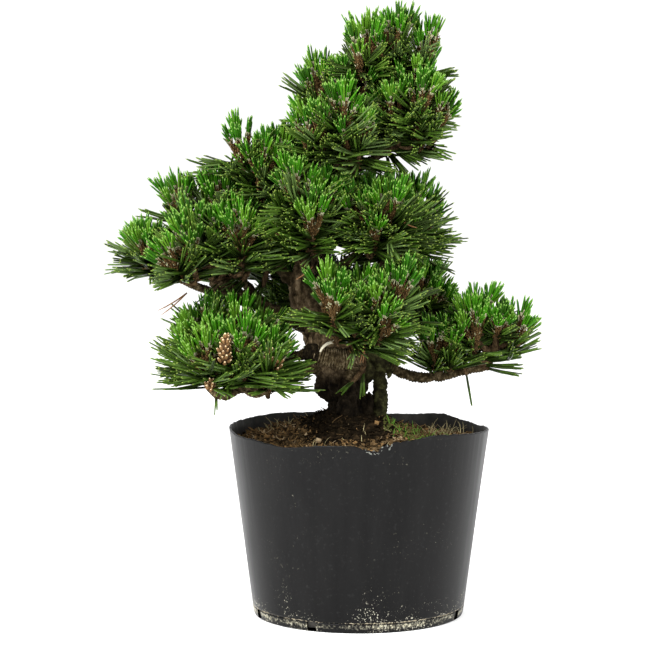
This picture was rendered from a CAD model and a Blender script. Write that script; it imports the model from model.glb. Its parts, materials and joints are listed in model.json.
"""Looks of the kotobuki Japanese black pine: bark, needles, soil and the cut-down nursery pot.

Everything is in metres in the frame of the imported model: +Z up, the front of the tree toward -Y,
and the origin at the centre of the pot's flat underside.
"""

import json
import logging
import math
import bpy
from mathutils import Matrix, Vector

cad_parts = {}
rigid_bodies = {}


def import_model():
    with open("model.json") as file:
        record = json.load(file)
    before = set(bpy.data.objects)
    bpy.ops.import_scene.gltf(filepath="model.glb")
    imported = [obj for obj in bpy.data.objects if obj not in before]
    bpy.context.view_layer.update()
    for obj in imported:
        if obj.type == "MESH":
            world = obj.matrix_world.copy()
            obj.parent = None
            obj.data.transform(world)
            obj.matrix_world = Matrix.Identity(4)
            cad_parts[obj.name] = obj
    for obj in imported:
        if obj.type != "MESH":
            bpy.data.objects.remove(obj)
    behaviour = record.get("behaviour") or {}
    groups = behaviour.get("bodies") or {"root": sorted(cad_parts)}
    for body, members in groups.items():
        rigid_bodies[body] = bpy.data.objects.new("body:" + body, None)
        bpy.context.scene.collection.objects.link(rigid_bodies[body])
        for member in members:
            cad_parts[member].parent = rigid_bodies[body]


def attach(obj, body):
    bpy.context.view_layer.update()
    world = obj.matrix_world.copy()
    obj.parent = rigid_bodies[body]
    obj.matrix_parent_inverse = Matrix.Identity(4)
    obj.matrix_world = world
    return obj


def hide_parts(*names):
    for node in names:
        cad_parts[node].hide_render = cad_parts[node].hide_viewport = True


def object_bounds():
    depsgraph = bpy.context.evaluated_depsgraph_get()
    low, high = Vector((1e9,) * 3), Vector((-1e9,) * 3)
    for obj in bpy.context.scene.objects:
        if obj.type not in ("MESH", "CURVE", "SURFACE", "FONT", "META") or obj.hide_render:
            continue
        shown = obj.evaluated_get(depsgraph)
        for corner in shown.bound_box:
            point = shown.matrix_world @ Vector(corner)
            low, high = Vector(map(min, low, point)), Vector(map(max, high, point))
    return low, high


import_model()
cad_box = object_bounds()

import zlib
from dataclasses import dataclass, replace
from enum import Enum

import bpy
import numpy as np
from mathutils import Vector

log = logging.getLogger("pine")

UP = np.array((0.0, 0.0, 1.0))
GOLDEN_ANGLE = math.radians(137.508)
MM = 0.001
ROOT_BODY = "root"
WHITE = (1.0, 1.0, 1.0)
WAX = (0.90, 1.00, 0.60)  # tint of a needle's gloss


class Slot(Enum):
    """The record's material slots."""

    PLASTIC = "black_nursery_plastic"
    SOIL = "potting_soil"
    BARK = "pine_bark"
    CUT_WOOD = "weathered_cut_wood"
    NEEDLES = "pine_needles"


def mm(*values: float) -> np.ndarray:
    """A place given in millimetres, in metres."""
    return np.array(values, float) * MM


def unit(vectors: np.ndarray) -> np.ndarray:
    """Vectors of length one along these, taken over the last axis."""
    return vectors / np.maximum(np.linalg.norm(vectors, axis=-1, keepdims=True), 1e-12)


def across(directions: np.ndarray) -> tuple[np.ndarray, np.ndarray]:
    """Two unit vectors square to each direction and to each other.

    Args:
        directions: unit vectors, over the last axis.

    Returns:
        The cross product with the world axis that lies least along the direction, and the
        direction's cross product with that.
    """
    steep = np.abs(directions[..., 2:3]) > 0.8
    helper = np.where(steep, np.array((1.0, 0.0, 0.0)), UP)
    first = unit(np.cross(helper, directions))
    return first, np.cross(directions, first)


def lattice_noise(places: np.ndarray, size: float, seed: int) -> np.ndarray:
    """Smooth noise from -1 to 1: hashed lattice values blended by a smooth step.

    Args:
        places: points, over the last axis.
        size: edge of a lattice cell, in metres.
        seed: picks another field of values.

    Returns:
        One value for each point.
    """
    scaled = places / size
    cell = np.floor(scaled).astype(np.int64)
    share = scaled - cell
    share = share * share * (3 - 2 * share)
    total = np.zeros(places.shape[:-1])
    for corner in np.ndindex(2, 2, 2):
        corner = np.array(corner)
        weight = np.prod(np.where(corner == 1, share, 1 - share), axis=-1)
        total += weight * hashed(cell + corner, seed)
    return total * 2 - 1


def hashed(cells: np.ndarray, seed: int) -> np.ndarray:
    """A number from 0 to 1 for each whole-number cell: the cell's three indices mixed by primes."""
    mixed = cells[..., 0] * 73856093 ^ cells[..., 1] * 19349663 ^ cells[..., 2] * 83492791
    mixed = (mixed ^ (seed * 2654435761)) & 0xFFFFFFFF
    mixed = ((mixed ^ (mixed >> 15)) * 2246822519) & 0xFFFFFFFF
    mixed = ((mixed ^ (mixed >> 13)) * 3266489917) & 0xFFFFFFFF
    return ((mixed ^ (mixed >> 16)) & 0xFFFFFF) / float(0xFFFFFF)


def plate_borders(places: np.ndarray, size: float, seed: int) -> np.ndarray:
    """How far each point is from the border of its plate, as a share of the plate's size.

    The plates are the cells around one jittered point in each lattice cell, and the value is the
    second smallest distance less the smallest one.

    Args:
        places: points, over the last axis.
        size: edge of a lattice cell, in metres.
        seed: picks another set of plates.

    Returns:
        One value for each point, 0 on a border.
    """
    scaled = places / size
    cell = np.floor(scaled).astype(np.int64)
    nearest = np.full(places.shape[:-1], 9.0)
    second = np.full(places.shape[:-1], 9.0)
    for step in np.ndindex(3, 3, 3):
        other = cell + np.array(step) - 1
        jitter = np.stack([hashed(other, seed + axis) for axis in range(3)], axis=-1)
        distance = np.linalg.norm(other + jitter - scaled, axis=-1)
        second = np.minimum(second, np.maximum(nearest, distance))
        nearest = np.minimum(nearest, distance)
    return second - nearest


class Shell:
    """Vertices and faces of closed surfaces, with a finish number on each face."""

    def __init__(self, vertices: np.ndarray, faces: np.ndarray, finishes: np.ndarray | int = 0) -> None:
        """Keep the arrays.

        Args:
            vertices: (n, 3) places.
            faces: (m, 3) or (m, 4) vertex numbers; a triangle in a row of four repeats its last.
            finishes: finish number of each face, or one for all.
        """
        self.vertices = vertices.reshape(-1, 3)
        if faces.shape[1] == 3:
            faces = np.hstack([faces, faces[:, 2:]])
        self.faces = faces
        self.finishes = np.broadcast_to(np.asarray(finishes), (len(faces),))

    @staticmethod
    def joined(shells: list["Shell"]) -> "Shell":
        """One shell with the vertices and faces of all of these."""
        starts = np.cumsum([0] + [len(shell.vertices) for shell in shells[:-1]])
        return Shell(
            np.vstack([shell.vertices for shell in shells]),
            np.vstack([shell.faces + start for shell, start in zip(shells, starts)]),
            np.concatenate([shell.finishes for shell in shells]),
        )

    def triangles(self) -> int:
        """How many triangles the faces make."""
        return int(len(self.faces) + (self.faces[:, 2] != self.faces[:, 3]).sum())

    def mesh(self, name: str, materials: list[bpy.types.Material], smooth: bool = True) -> bpy.types.Mesh:
        """A mesh with these faces.

        Args:
            name: the mesh's name.
            materials: one for each finish number.
            smooth: shade the faces smooth.

        Returns:
            The new mesh.
        """
        square = self.faces[:, 2] != self.faces[:, 3]
        sizes = np.where(square, 4, 3)
        kept = np.ones(self.faces.shape, bool)
        kept[:, 3] = square
        corners = self.faces[kept]
        mesh = bpy.data.meshes.new(name)
        mesh.vertices.add(len(self.vertices))
        mesh.vertices.foreach_set("co", self.vertices.astype(np.float32).ravel())
        mesh.loops.add(len(corners))
        mesh.loops.foreach_set("vertex_index", corners.astype(np.int32))
        mesh.polygons.add(len(sizes))
        mesh.polygons.foreach_set("loop_start", (np.cumsum(sizes) - sizes).astype(np.int32))
        mesh.polygons.foreach_set("material_index", self.finishes.astype(np.int32))
        mesh.polygons.foreach_set("use_smooth", np.full(len(sizes), smooth))
        for material in materials:
            mesh.materials.append(material)
        mesh.update(calc_edges=True)
        return mesh


def show(
    name: str,
    shell: Shell,
    materials: list[bpy.types.Material],
    nodes: tuple[str, ...] = (),
    smooth: bool = True,
) -> bpy.types.Object:
    """Make one piece of the object, which rides on the root body.

    Args:
        name: the piece's name.
        shell: its surface.
        materials: one for each finish number.
        nodes: CAD nodes that it stands for.
        smooth: shade the faces smooth.

    Returns:
        The new object.
    """
    piece = bpy.data.objects.new(name, shell.mesh(name, materials, smooth))
    bpy.context.scene.collection.objects.link(piece)
    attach(piece, ROOT_BODY)
    if nodes:
        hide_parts(*nodes)
    log.info("%s: %d triangles", name, shell.triangles())
    return piece


def tubes(paths: np.ndarray, radii: np.ndarray, sides: int, finishes: np.ndarray | int = 0) -> Shell:
    """Closed tubes along paths.

    A ring's point is the path's point plus the radius times cos(angle) of one vector square to
    the path plus sin(angle) of the other. Each end is closed by a fan round the path's end.

    Args:
        paths: (tubes, rings, 3) middle lines.
        radii: (tubes, rings) or (tubes, rings, sides) radii.
        sides: points round a ring.
        finishes: finish number of each tube, or one for all.

    Returns:
        The tubes' shell, tube after tube, each with its rings first and then its two ends.
    """
    count, rings, _ = paths.shape
    tangents = unit(np.gradient(paths, axis=1))
    helper, _ = across(unit(paths[:, -1] - paths[:, 0]))
    helper = helper[:, None]
    first = unit(helper - (helper * tangents).sum(-1, keepdims=True) * tangents)
    second = np.cross(tangents, first)
    if radii.ndim == 2:
        radii = np.repeat(radii[:, :, None], sides, axis=2)
    angles = np.arange(sides) * math.tau / sides
    around = first[:, :, None] * np.cos(angles)[:, None] + second[:, :, None] * np.sin(angles)[:, None]
    walls = paths[:, :, None] + around * radii[..., None]
    places = np.concatenate([walls.reshape(count, -1, 3), paths[:, :1], paths[:, -1:]], axis=1)
    faces = tube_faces(rings, sides)
    each = np.arange(count)[:, None, None] * (rings * sides + 2)
    marks = np.repeat(np.broadcast_to(np.asarray(finishes), (count,)), len(faces))
    return Shell(places, (faces[None] + each).reshape(-1, 4), marks)


def tube_faces(rings: int, sides: int) -> np.ndarray:
    """Faces of one closed tube: squares between rings, and a fan of triangles on each end."""
    side = np.arange(sides)
    following = (side + 1) % sides
    ring = np.arange(rings - 1)[:, None] * sides
    squares = np.stack([ring + side, ring + following, ring + sides + following, ring + sides + side], -1)
    last = (rings - 1) * sides
    start = np.full(sides, rings * sides)
    foot = np.stack([following, side, start, start], -1)
    top = np.stack([last + side, last + following, start + 1, start + 1], -1)
    return np.vstack([squares.reshape(-1, 4), foot, top])


@dataclass(frozen=True)
class PlainFinish:
    """One colour with a roughness, for leaves and other small pieces."""

    name: str
    colour: tuple[float, float, float]
    roughness: float = 0.5
    specular: float = 0.5
    tint: tuple[float, float, float] = WHITE
    sheen: float = 0.0

    def material(self) -> bpy.types.Material:
        """A Principled material with these values on its own sockets."""
        material = bpy.data.materials.new(self.name)
        material.use_nodes = True
        shader = material.node_tree.nodes["Principled BSDF"]
        shader.inputs["Base Color"].default_value = (*self.colour, 1.0)
        shader.inputs["Roughness"].default_value = self.roughness
        shader.inputs["Specular IOR Level"].default_value = self.specular
        shader.inputs["Specular Tint"].default_value = (*self.tint, 1.0)
        shader.inputs["Sheen Weight"].default_value = self.sheen
        return material


@dataclass(frozen=True)
class MottledFinish:
    """Two or three colours mixed by noise, with a bump from a finer noise."""

    name: str
    dark: tuple[float, float, float]
    middle: tuple[float, float, float]
    light: tuple[float, float, float]
    patch: float  # size of the patches, in metres
    grain: float  # size of the bump's grain, in metres
    depth: float  # height of the bump, in metres
    roughness: float = 0.85
    stretch: tuple[float, float, float] = (1.0, 1.0, 1.0)
    damp: tuple[float, float, float] | None = None  # height below, height above, colour's share below

    def material(self) -> bpy.types.Material:
        """A Principled material whose colour and bump follow noise on Object coordinates."""
        material = bpy.data.materials.new(self.name)
        material.use_nodes = True
        tree = material.node_tree
        shader = tree.nodes["Principled BSDF"]
        shader.inputs["Roughness"].default_value = self.roughness
        shader.inputs["Specular IOR Level"].default_value = 0.04
        place = tree.nodes.new("ShaderNodeTexCoord")
        mapping = tree.nodes.new("ShaderNodeMapping")
        mapping.inputs["Scale"].default_value = self.stretch
        tree.links.new(place.outputs["Object"], mapping.inputs["Vector"])
        patches = tree.nodes.new("ShaderNodeTexNoise")
        patches.inputs["Scale"].default_value = 1.0 / self.patch
        patches.inputs["Detail"].default_value = 6.0
        patches.inputs["Roughness"].default_value = 0.65
        tree.links.new(mapping.outputs["Vector"], patches.inputs["Vector"])
        ramp = tree.nodes.new("ShaderNodeValToRGB")
        ramp.color_ramp.elements[0].position = 0.36
        ramp.color_ramp.elements[0].color = (*self.dark, 1.0)
        ramp.color_ramp.elements[1].position = 0.66
        ramp.color_ramp.elements[1].color = (*self.light, 1.0)
        middle = ramp.color_ramp.elements.new(0.5)
        middle.color = (*self.middle, 1.0)
        tree.links.new(patches.outputs["Fac"], ramp.inputs["Fac"])
        colour = ramp.outputs["Color"] if self.damp is None else self.darkened(tree, place, ramp)
        tree.links.new(colour, shader.inputs["Base Color"])
        grain = tree.nodes.new("ShaderNodeTexNoise")
        grain.inputs["Scale"].default_value = 1.0 / self.grain
        grain.inputs["Detail"].default_value = 4.0
        tree.links.new(mapping.outputs["Vector"], grain.inputs["Vector"])
        bump = tree.nodes.new("ShaderNodeBump")
        bump.inputs["Strength"].default_value = 0.8
        bump.inputs["Distance"].default_value = self.depth
        tree.links.new(grain.outputs["Fac"], bump.inputs["Height"])
        tree.links.new(bump.outputs["Normal"], shader.inputs["Normal"])
        return material

    def darkened(
        self, tree: bpy.types.NodeTree, place: bpy.types.Node, ramp: bpy.types.Node
    ) -> bpy.types.NodeSocket:
        """The ramp's colour times a share that rises with height, as on damp bark at the ground."""
        low, high, share = self.damp
        height = tree.nodes.new("ShaderNodeSeparateXYZ")
        tree.links.new(place.outputs["Object"], height.inputs["Vector"])
        rise = tree.nodes.new("ShaderNodeMapRange")
        rise.interpolation_type = "SMOOTHSTEP"
        rise.inputs["From Min"].default_value = low
        rise.inputs["From Max"].default_value = high
        rise.inputs["To Min"].default_value = share
        rise.inputs["To Max"].default_value = 1.0
        tree.links.new(height.outputs["Z"], rise.inputs["Value"])
        product = tree.nodes.new("ShaderNodeVectorMath")
        product.operation = "SCALE"
        tree.links.new(ramp.outputs["Color"], product.inputs["Vector"])
        tree.links.new(rise.outputs["Result"], product.inputs["Scale"])
        return product.outputs["Vector"]


@dataclass(frozen=True)
class Limb:
    """A tapering limb: points along its middle line, each with a radius."""

    points: np.ndarray
    radii: np.ndarray

    def at(self, share: float) -> np.ndarray:
        """The place at a share of the limb's length."""
        places = np.linspace(0, 1, len(self.points))
        return np.array([np.interp(share, places, self.points[:, axis]) for axis in range(3)])


def smooth_course(places: np.ndarray, shares: np.ndarray) -> np.ndarray:
    """Rows read at shares of the way along a Catmull-Rom curve through rows of numbers.

    Args:
        places: (n, k) rows that the curve passes through.
        shares: (m,) shares of the way from the first row to the last.

    Returns:
        (m, k) rows on the curve.
    """
    spans = len(places) - 1
    step = np.minimum((shares * spans).astype(int), spans - 1)
    t = (shares * spans - step)[:, None]
    before = places[np.maximum(step - 1, 0)]
    start = places[step]
    end = places[step + 1]
    after = places[np.minimum(step + 2, spans)]
    return 0.5 * (
        2 * start
        + (end - before) * t
        + (2 * before - 5 * start + 4 * end - after) * t**2
        + (3 * start - before - 3 * end + after) * t**3
    )


@dataclass(frozen=True)
class Trunk:
    """The trunk, from the flat cut at the ground to its tip, with bark relief."""

    # height, place across and back, and radius at each bend, in millimetres
    course: tuple[tuple[float, float, float, float], ...] = (
        (124.0, -8.0, 0.0, 18.0),
        (131.0, -7.4, 0.0, 15.8),
        (139.0, -6.8, 0.5, 13.2),
        (150.0, -11.0, 1.0, 16.0),
        (161.0, -12.0, 1.5, 17.0),
        (178.0, -20.5, 3.5, 13.4),
        (194.0, -29.0, 5.0, 10.6),
        (210.0, -36.5, 5.0, 9.2),
        (225.0, -36.0, 3.5, 8.2),
        (244.0, -29.0, 0.5, 7.0),
        (267.0, -20.5, -2.0, 5.9),
        (293.0, -13.5, -1.0, 5.0),
        (319.0, -5.5, 2.0, 4.0),
        (337.0, 3.5, 3.0, 3.2),
        (351.0, 10.0, 3.0, 2.6),
    )
    rings: int = 420
    sides: int = 120
    ground: float = 0.124
    root_lobes: int = 5
    lobe_swell: float = 0.16
    lobe_height: float = 0.020
    knob_swell: float = 0.05
    plate: float = 0.0058
    crack: float = 0.0019
    lump: float = 0.0020  # height of the low lumps under the plates

    def limb(self, rings: int) -> Limb:
        """The middle line and radii, read at this many places."""
        rows = np.array([(x, y, z, radius) for z, x, y, radius in self.course]) * MM
        read = smooth_course(rows, np.linspace(0, 1, rings))
        return Limb(read[:, :3], read[:, 3])

    def shell(self) -> Shell:
        """The trunk's surface: level rings whose radius is the source's, plus bark relief.

        The relief is raised plates with cracks between them, and a finer roughness; both grow
        with the trunk's thickness.
        """
        limb = self.limb(self.rings)
        angles = np.arange(self.sides) * math.tau / self.sides
        height = (limb.points[:, 2] - self.ground)[:, None]
        lobes = np.cos(self.root_lobes * angles + 0.6) * self.lobe_swell
        knobs = np.sin(3 * angles + height * 210) * self.knob_swell
        swell = 1.0 + lobes * np.exp(-height / self.lobe_height) + knobs
        radii = limb.radii[:, None] * swell
        spoke = np.stack([np.cos(angles), np.sin(angles), np.zeros_like(angles)], -1)
        walls = limb.points[:, None] + spoke * radii[..., None]
        relief = bark_relief(walls, self.plate, self.crack) + lattice_noise(walls, 0.013, 17) * self.lump
        thickness = np.clip(limb.radii / 0.012, 0.35, 1.0)[:, None]
        walls = limb.points[:, None] + spoke * (radii + relief * thickness)[..., None]
        places = np.concatenate([walls.reshape(-1, 3), limb.points[:1], limb.points[-1:]])
        return Shell(places, tube_faces(self.rings, self.sides))


def bark_relief(places: np.ndarray, plate: float, crack: float) -> np.ndarray:
    """Height of the bark over the wood: plates that fall away to cracks at their borders.

    Args:
        places: points on the smooth surface.
        plate: size of a plate, in metres.
        crack: depth of a crack, in metres.

    Returns:
        The height at each point, in metres, about 0 on the mean.
    """
    bent = places * np.array((1.0, 1.0, 0.62))
    warp = np.stack([lattice_noise(places, plate * 1.6, seed) for seed in (11, 12, 13)], -1)
    bent = bent + warp * plate * 0.35
    borders = plate_borders(bent, plate, 21)
    plates = np.clip(borders / 0.28, 0, 1) ** 0.7 - 0.75
    steps = lattice_noise(places, plate * 0.9, 31) * 0.35
    fine = lattice_noise(places, plate * 0.3, 41) * 0.22
    return crack * (plates + steps + fine)


@dataclass(frozen=True)
class Bough:
    """One tapering limb, from a place along its parent to a tip."""

    name: str
    parent: str
    along: float
    tip: tuple[float, float, float]  # millimetres
    sag: float
    root_radius: float
    tip_radius: float
    points: int = 6

    def limb(self, parent: Limb, points: int | None = None) -> Limb:
        """The bough's middle line: a bend from root to tip whose middle hangs by the sag.

        Args:
            parent: the limb that it leaves.
            points: how many spans to read it in, or the source's number.

        Returns:
            The bough's line and radii.
        """
        share = np.linspace(0, 1, (points or self.points) + 1)[:, None]
        root = parent.at(self.along)
        tip = mm(*self.tip)
        middle = (root + tip) / 2 - UP * self.sag
        bend = root * (1 - share) ** 2 + middle * 2 * share * (1 - share) + tip * share**2
        line = bend - UP * self.sag * np.sin(math.pi * share) * (1 - share)
        radii = self.root_radius + (self.tip_radius - self.root_radius) * share[:, 0] ** 0.7
        return Limb(line, radii)


BOUGHS = (
    Bough("bough_low_left", "trunk", 0.32, (-82, -46, 154), 0.002, 0.0052, 0.0034),
    Bough("bough_low_left_rear", "trunk", 0.35, (-82, -20, 172), 0.003, 0.0040, 0.0026),
    Bough("bough_left", "trunk", 0.40, (-96, -16, 222), 0.002, 0.0064, 0.0040),
    Bough("bough_left_tip", "bough_left", 0.72, (-126, 2, 225), 0.003, 0.0034, 0.0024),
    Bough("bough_left_back", "bough_left", 0.35, (-84, 34, 226), 0.004, 0.0036, 0.0026),
    Bough("bough_left_high", "trunk", 0.49, (-85, 8, 252), -0.005, 0.0040, 0.0026),
    Bough("bough_upper_left", "trunk", 0.60, (-60, -2, 276), 0.003, 0.0038, 0.0026),
    Bough("bough_upper_left_back", "trunk", 0.56, (-46, 36, 275), 0.003, 0.0034, 0.0024),
    Bough("bough_centre", "trunk", 0.50, (-33, -20, 246), 0.001, 0.0036, 0.0026),
    Bough("bough_mid_right", "trunk", 0.54, (11, -14, 249), 0.004, 0.0038, 0.0026),
    Bough("bough_right_shoulder", "trunk", 0.47, (26, 12, 238), 0.004, 0.0038, 0.0026),
    Bough("bough_mid_back", "trunk", 0.58, (-8, 40, 256), 0.004, 0.0036, 0.0026),
    Bough("bough_right_back", "trunk", 0.38, (30, 30, 200), 0.003, 0.0040, 0.0026),
    Bough("bough_apex_left", "trunk", 0.84, (-16, 3, 332), 0.001, 0.0030, 0.0024),
    Bough("bough_apex_front", "trunk", 0.74, (-13, -17, 303), 0.002, 0.0032, 0.0024),
    Bough("bough_apex_right", "trunk", 0.78, (31, -6, 315), 0.003, 0.0034, 0.0024),
    Bough("bough_apex_back", "trunk", 0.80, (6, 28, 320), 0.002, 0.0032, 0.0024),
    Bough("bough_front_centre", "trunk", 0.21, (4, -40, 186), 0.003, 0.0050, 0.0034),
    Bough("cut_stub", "bough_front_centre", 0.74, (-30, -33, 176), 0.0030, 0.0070, 0.0058),
    Bough("bough_low_right", "side_stem", 1.00, (86, 0, 165), 0.009, 0.0036, 0.0030),
    Bough("spur_low_right", "bough_low_right", 0.50, (54, -4, 162), 0.0, 0.0026, 0.0022),
    Bough("bough_back_low", "trunk", 0.30, (0, 38, 184), 0.004, 0.0040, 0.0028),
    Bough("bough_back_left", "trunk", 0.35, (-36, 40, 202), 0.004, 0.0038, 0.0026),
)


@dataclass(frozen=True)
class SideStem:
    """The short upright stem at the trunk's right foot."""

    foot: tuple[float, float, float] = (12.5, -1, 124.0)
    top: tuple[float, float, float] = (14.5, -1, 167.0)
    foot_radius: float = 0.0062
    top_radius: float = 0.0046

    def limb(self, points: int = 4) -> Limb:
        """A straight line from foot to top, whose radius falls by the root of the share."""
        share = np.linspace(0, 1, points + 1)
        line = mm(*self.foot) * (1 - share[:, None]) + mm(*self.top) * share[:, None]
        return Limb(line, self.foot_radius + (self.top_radius - self.foot_radius) * np.sqrt(share))


class Skeleton:
    """The trunk, the side stem and every bough, at the source's number of points."""

    TRUNK_RINGS = 25

    def __init__(self) -> None:
        """Work out each limb from its parent."""
        self.trunk = Trunk()
        self.stem = SideStem()
        self.limbs = {"trunk": self.trunk.limb(self.TRUNK_RINGS), "side_stem": self.stem.limb()}
        for bough in BOUGHS:
            self.limbs[bough.name] = bough.limb(self.limbs[bough.parent])

    def clear(self, places: np.ndarray) -> np.ndarray:
        """Distance from each place to the surface of the nearest limb, below 0 inside one."""
        starts = np.vstack([limb.points[:-1] for limb in self.limbs.values()])
        ends = np.vstack([limb.points[1:] for limb in self.limbs.values()])
        thick = np.concatenate([limb.radii[:-1] for limb in self.limbs.values()])
        lines = ends - starts
        offsets = places[:, None] - starts
        shares = np.clip((offsets * lines).sum(-1) / (lines * lines).sum(-1), 0, 1)
        return (np.linalg.norm(offsets - shares[..., None] * lines, axis=-1) - thick).min(-1)


class Bark:
    """The trunk, side stem and boughs as surfaces with relief."""

    LENGTH_STEP = 0.0007  # metres between a bough's rings
    STUB_STEP = 0.0003
    SIDES = 30
    RIDGE = 0.0018  # pitch of the rings of old leaf scars along a bough
    RIDGES = {"bough_low_right": 0.00055, "bough_low_left": 0.00050}
    PEELED = PlainFinish("peeled_wood", (0.60, 0.56, 0.42), 0.6, 0.2)
    CUT_END = MottledFinish(
        "cut_end", (0.0020, 0.0015, 0.0008), (0.0070, 0.0050, 0.0025), (0.0280, 0.0210, 0.0110),
        patch=0.0030, grain=0.0008, depth=0.0008, roughness=0.9,
    )
    END_HEADING = np.array((-0.60, -0.79, 0.10))  # of the cut stub's dark end

    # rows of x, y, z and radius in millimetres
    TRUNK_KNOTS = (
        ((-22, -4, 143, 0.5), (-24, -4, 146, 3.2), (-25, -4, 150, 4.4), (-24, -3, 154, 3.0), (-22, -3, 157, 0.5)),
        ((2, -3, 124, 8.0), (4, -3, 130, 7.2), (6, -3, 138, 5.2), (7, -3, 144, 3.0), (7, -3, 147.5, 0.5)),
        ((-6, -12, 128, 0.5), (-7, -13, 132, 4.5), (-9, -13, 138, 5.2), (-10, -12, 144, 3.5), (-10, -11, 148, 0.5)),
        ((-20, -10, 169, 0.5), (-19, -11, 172, 3.0), (-18, -11, 176, 3.8), (-18, -10, 180, 2.6), (-18, -9, 183, 0.5)),
    )
    STEM_KNOTS = (
        ((-8, -6, 172, 4.0), (0, -5, 172, 4.6), (8, -4, 171, 4.8), (14, -2, 168, 5.2), (19, -1, 163.5, 4.4), (23, -1, 160.5, 3.4)),
        ((16, -2, 166, 0.5), (18, -2, 164, 2.4), (20, -2, 161, 2.8), (20, -2, 158, 2.0), (19, -2, 156, 0.5)),
        ((5, -3, 152.5, 0.5), (6, -3, 156, 3.8), (6, -3, 162, 5.0), (6, -3, 168, 4.0), (5, -3, 172, 0.5)),
        ((11, -5, 126, 0.5), (12, -5, 129, 4.0), (13, -5, 134, 4.4), (13, -4, 139, 2.8), (13, -4, 142, 0.5)),
    )
    BOUGH_KNOTS = (
        ((-99, -58, 159, 0.8), (-95, -58, 155, 2.4), (-90, -56, 152, 3.0), (-84, -53, 151.5, 2.8), (-77, -50, 153, 1.2)),
        ((-75, -52, 154, 0.8), (-70, -52, 152, 1.9), (-65, -51, 151.5, 2.2), (-59, -50, 153, 1.0)),
    )
    PEELED_STRIP = (
        (-25.4, -39.5, 177.6, 0.6), (-23.6, -38.4, 180.4, 0.9), (-20.6, -36.4, 182.6, 1.0),
        (-17.2, -34.4, 183.6, 0.9), (-13.4, -33.4, 183.4, 0.6),
    )

    def __init__(self, skeleton: Skeleton) -> None:
        """Keep the limbs and make the finishes."""
        self.skeleton = skeleton
        self.finish = MottledFinish(
            "flaking_bark", (0.024, 0.0165, 0.0080), (0.118, 0.083, 0.0450), (0.365, 0.270, 0.160),
            patch=0.005, grain=0.0011, depth=0.0010, roughness=0.9, stretch=(1.0, 1.0, 0.6),
            damp=(0.149, 0.182, 0.045),
        ).material()
        self.rough = MottledFinish(
            "rough_bark", (0.014, 0.0096, 0.0042), (0.046, 0.034, 0.016), (0.155, 0.118, 0.066),
            patch=0.0035, grain=0.0009, depth=0.0009, roughness=0.9,
        ).material()
        self.ridged = MottledFinish(
            "ridged_bark", (0.018, 0.013, 0.006), (0.085, 0.062, 0.031), (0.250, 0.200, 0.120),
            patch=0.003, grain=0.0008, depth=0.0008, roughness=0.9,
        ).material()
        self.mossy = MottledFinish(
            "mossy_bark", (0.005, 0.0042, 0.0020), (0.017, 0.016, 0.0065), (0.060, 0.062, 0.022),
            patch=0.005, grain=0.0010, depth=0.0009, roughness=0.9, damp=(0.126, 0.145, 0.45),
        ).material()

    def bough_shell(self, limb: Limb, ridge: float = 0.00032) -> Shell:
        """A bough's tube: its radius swells in rings of leaf scars and in knobs.

        Args:
            limb: its line and radii, finely read.
            ridge: height of the rings of leaf scars, in metres.

        Returns:
            The closed tube.
        """
        paths = limb.points[None]
        radii = np.repeat(limb.radii[:, None], self.SIDES, axis=1)[None]
        walls = tubes(paths, radii, self.SIDES).vertices[:-2].reshape(1, len(limb.points), self.SIDES, 3)
        along = np.cumsum(np.r_[0, np.linalg.norm(np.diff(limb.points, axis=0), axis=1)])[None, :, None]
        turn = lattice_noise(walls, 0.004, 51) * 1.8
        ridges = np.sin(along * math.tau / self.RIDGE + turn) * ridge
        knobs = lattice_noise(walls, 0.0045, 52) * 0.0010 + lattice_noise(walls, 0.0016, 53) * 0.00045
        thickness = np.clip(limb.radii / 0.004, 0.5, 1.2)[None, :, None]
        return tubes(paths, radii + (ridges + knobs) * thickness, self.SIDES)

    def fine_limb(self, bough: Bough, step: float = LENGTH_STEP) -> Limb:
        """A bough read in steps of this length."""
        rough = self.skeleton.limbs[bough.name]
        length = np.linalg.norm(np.diff(rough.points, axis=0), axis=1).sum()
        return bough.limb(self.skeleton.limbs[bough.parent], max(12, int(length / step)))

    def growth(self, rows: tuple[tuple[float, float, float, float], ...], rings: int = 30) -> Shell:
        """A knot or short growth of bark: a tube whose middle line and radius pass through rows."""
        read = smooth_course(np.array(rows) * MM, np.linspace(0, 1, rings))
        return self.bough_shell(Limb(read[:, :3], np.maximum(read[:, 3], 0.0004)))

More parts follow.
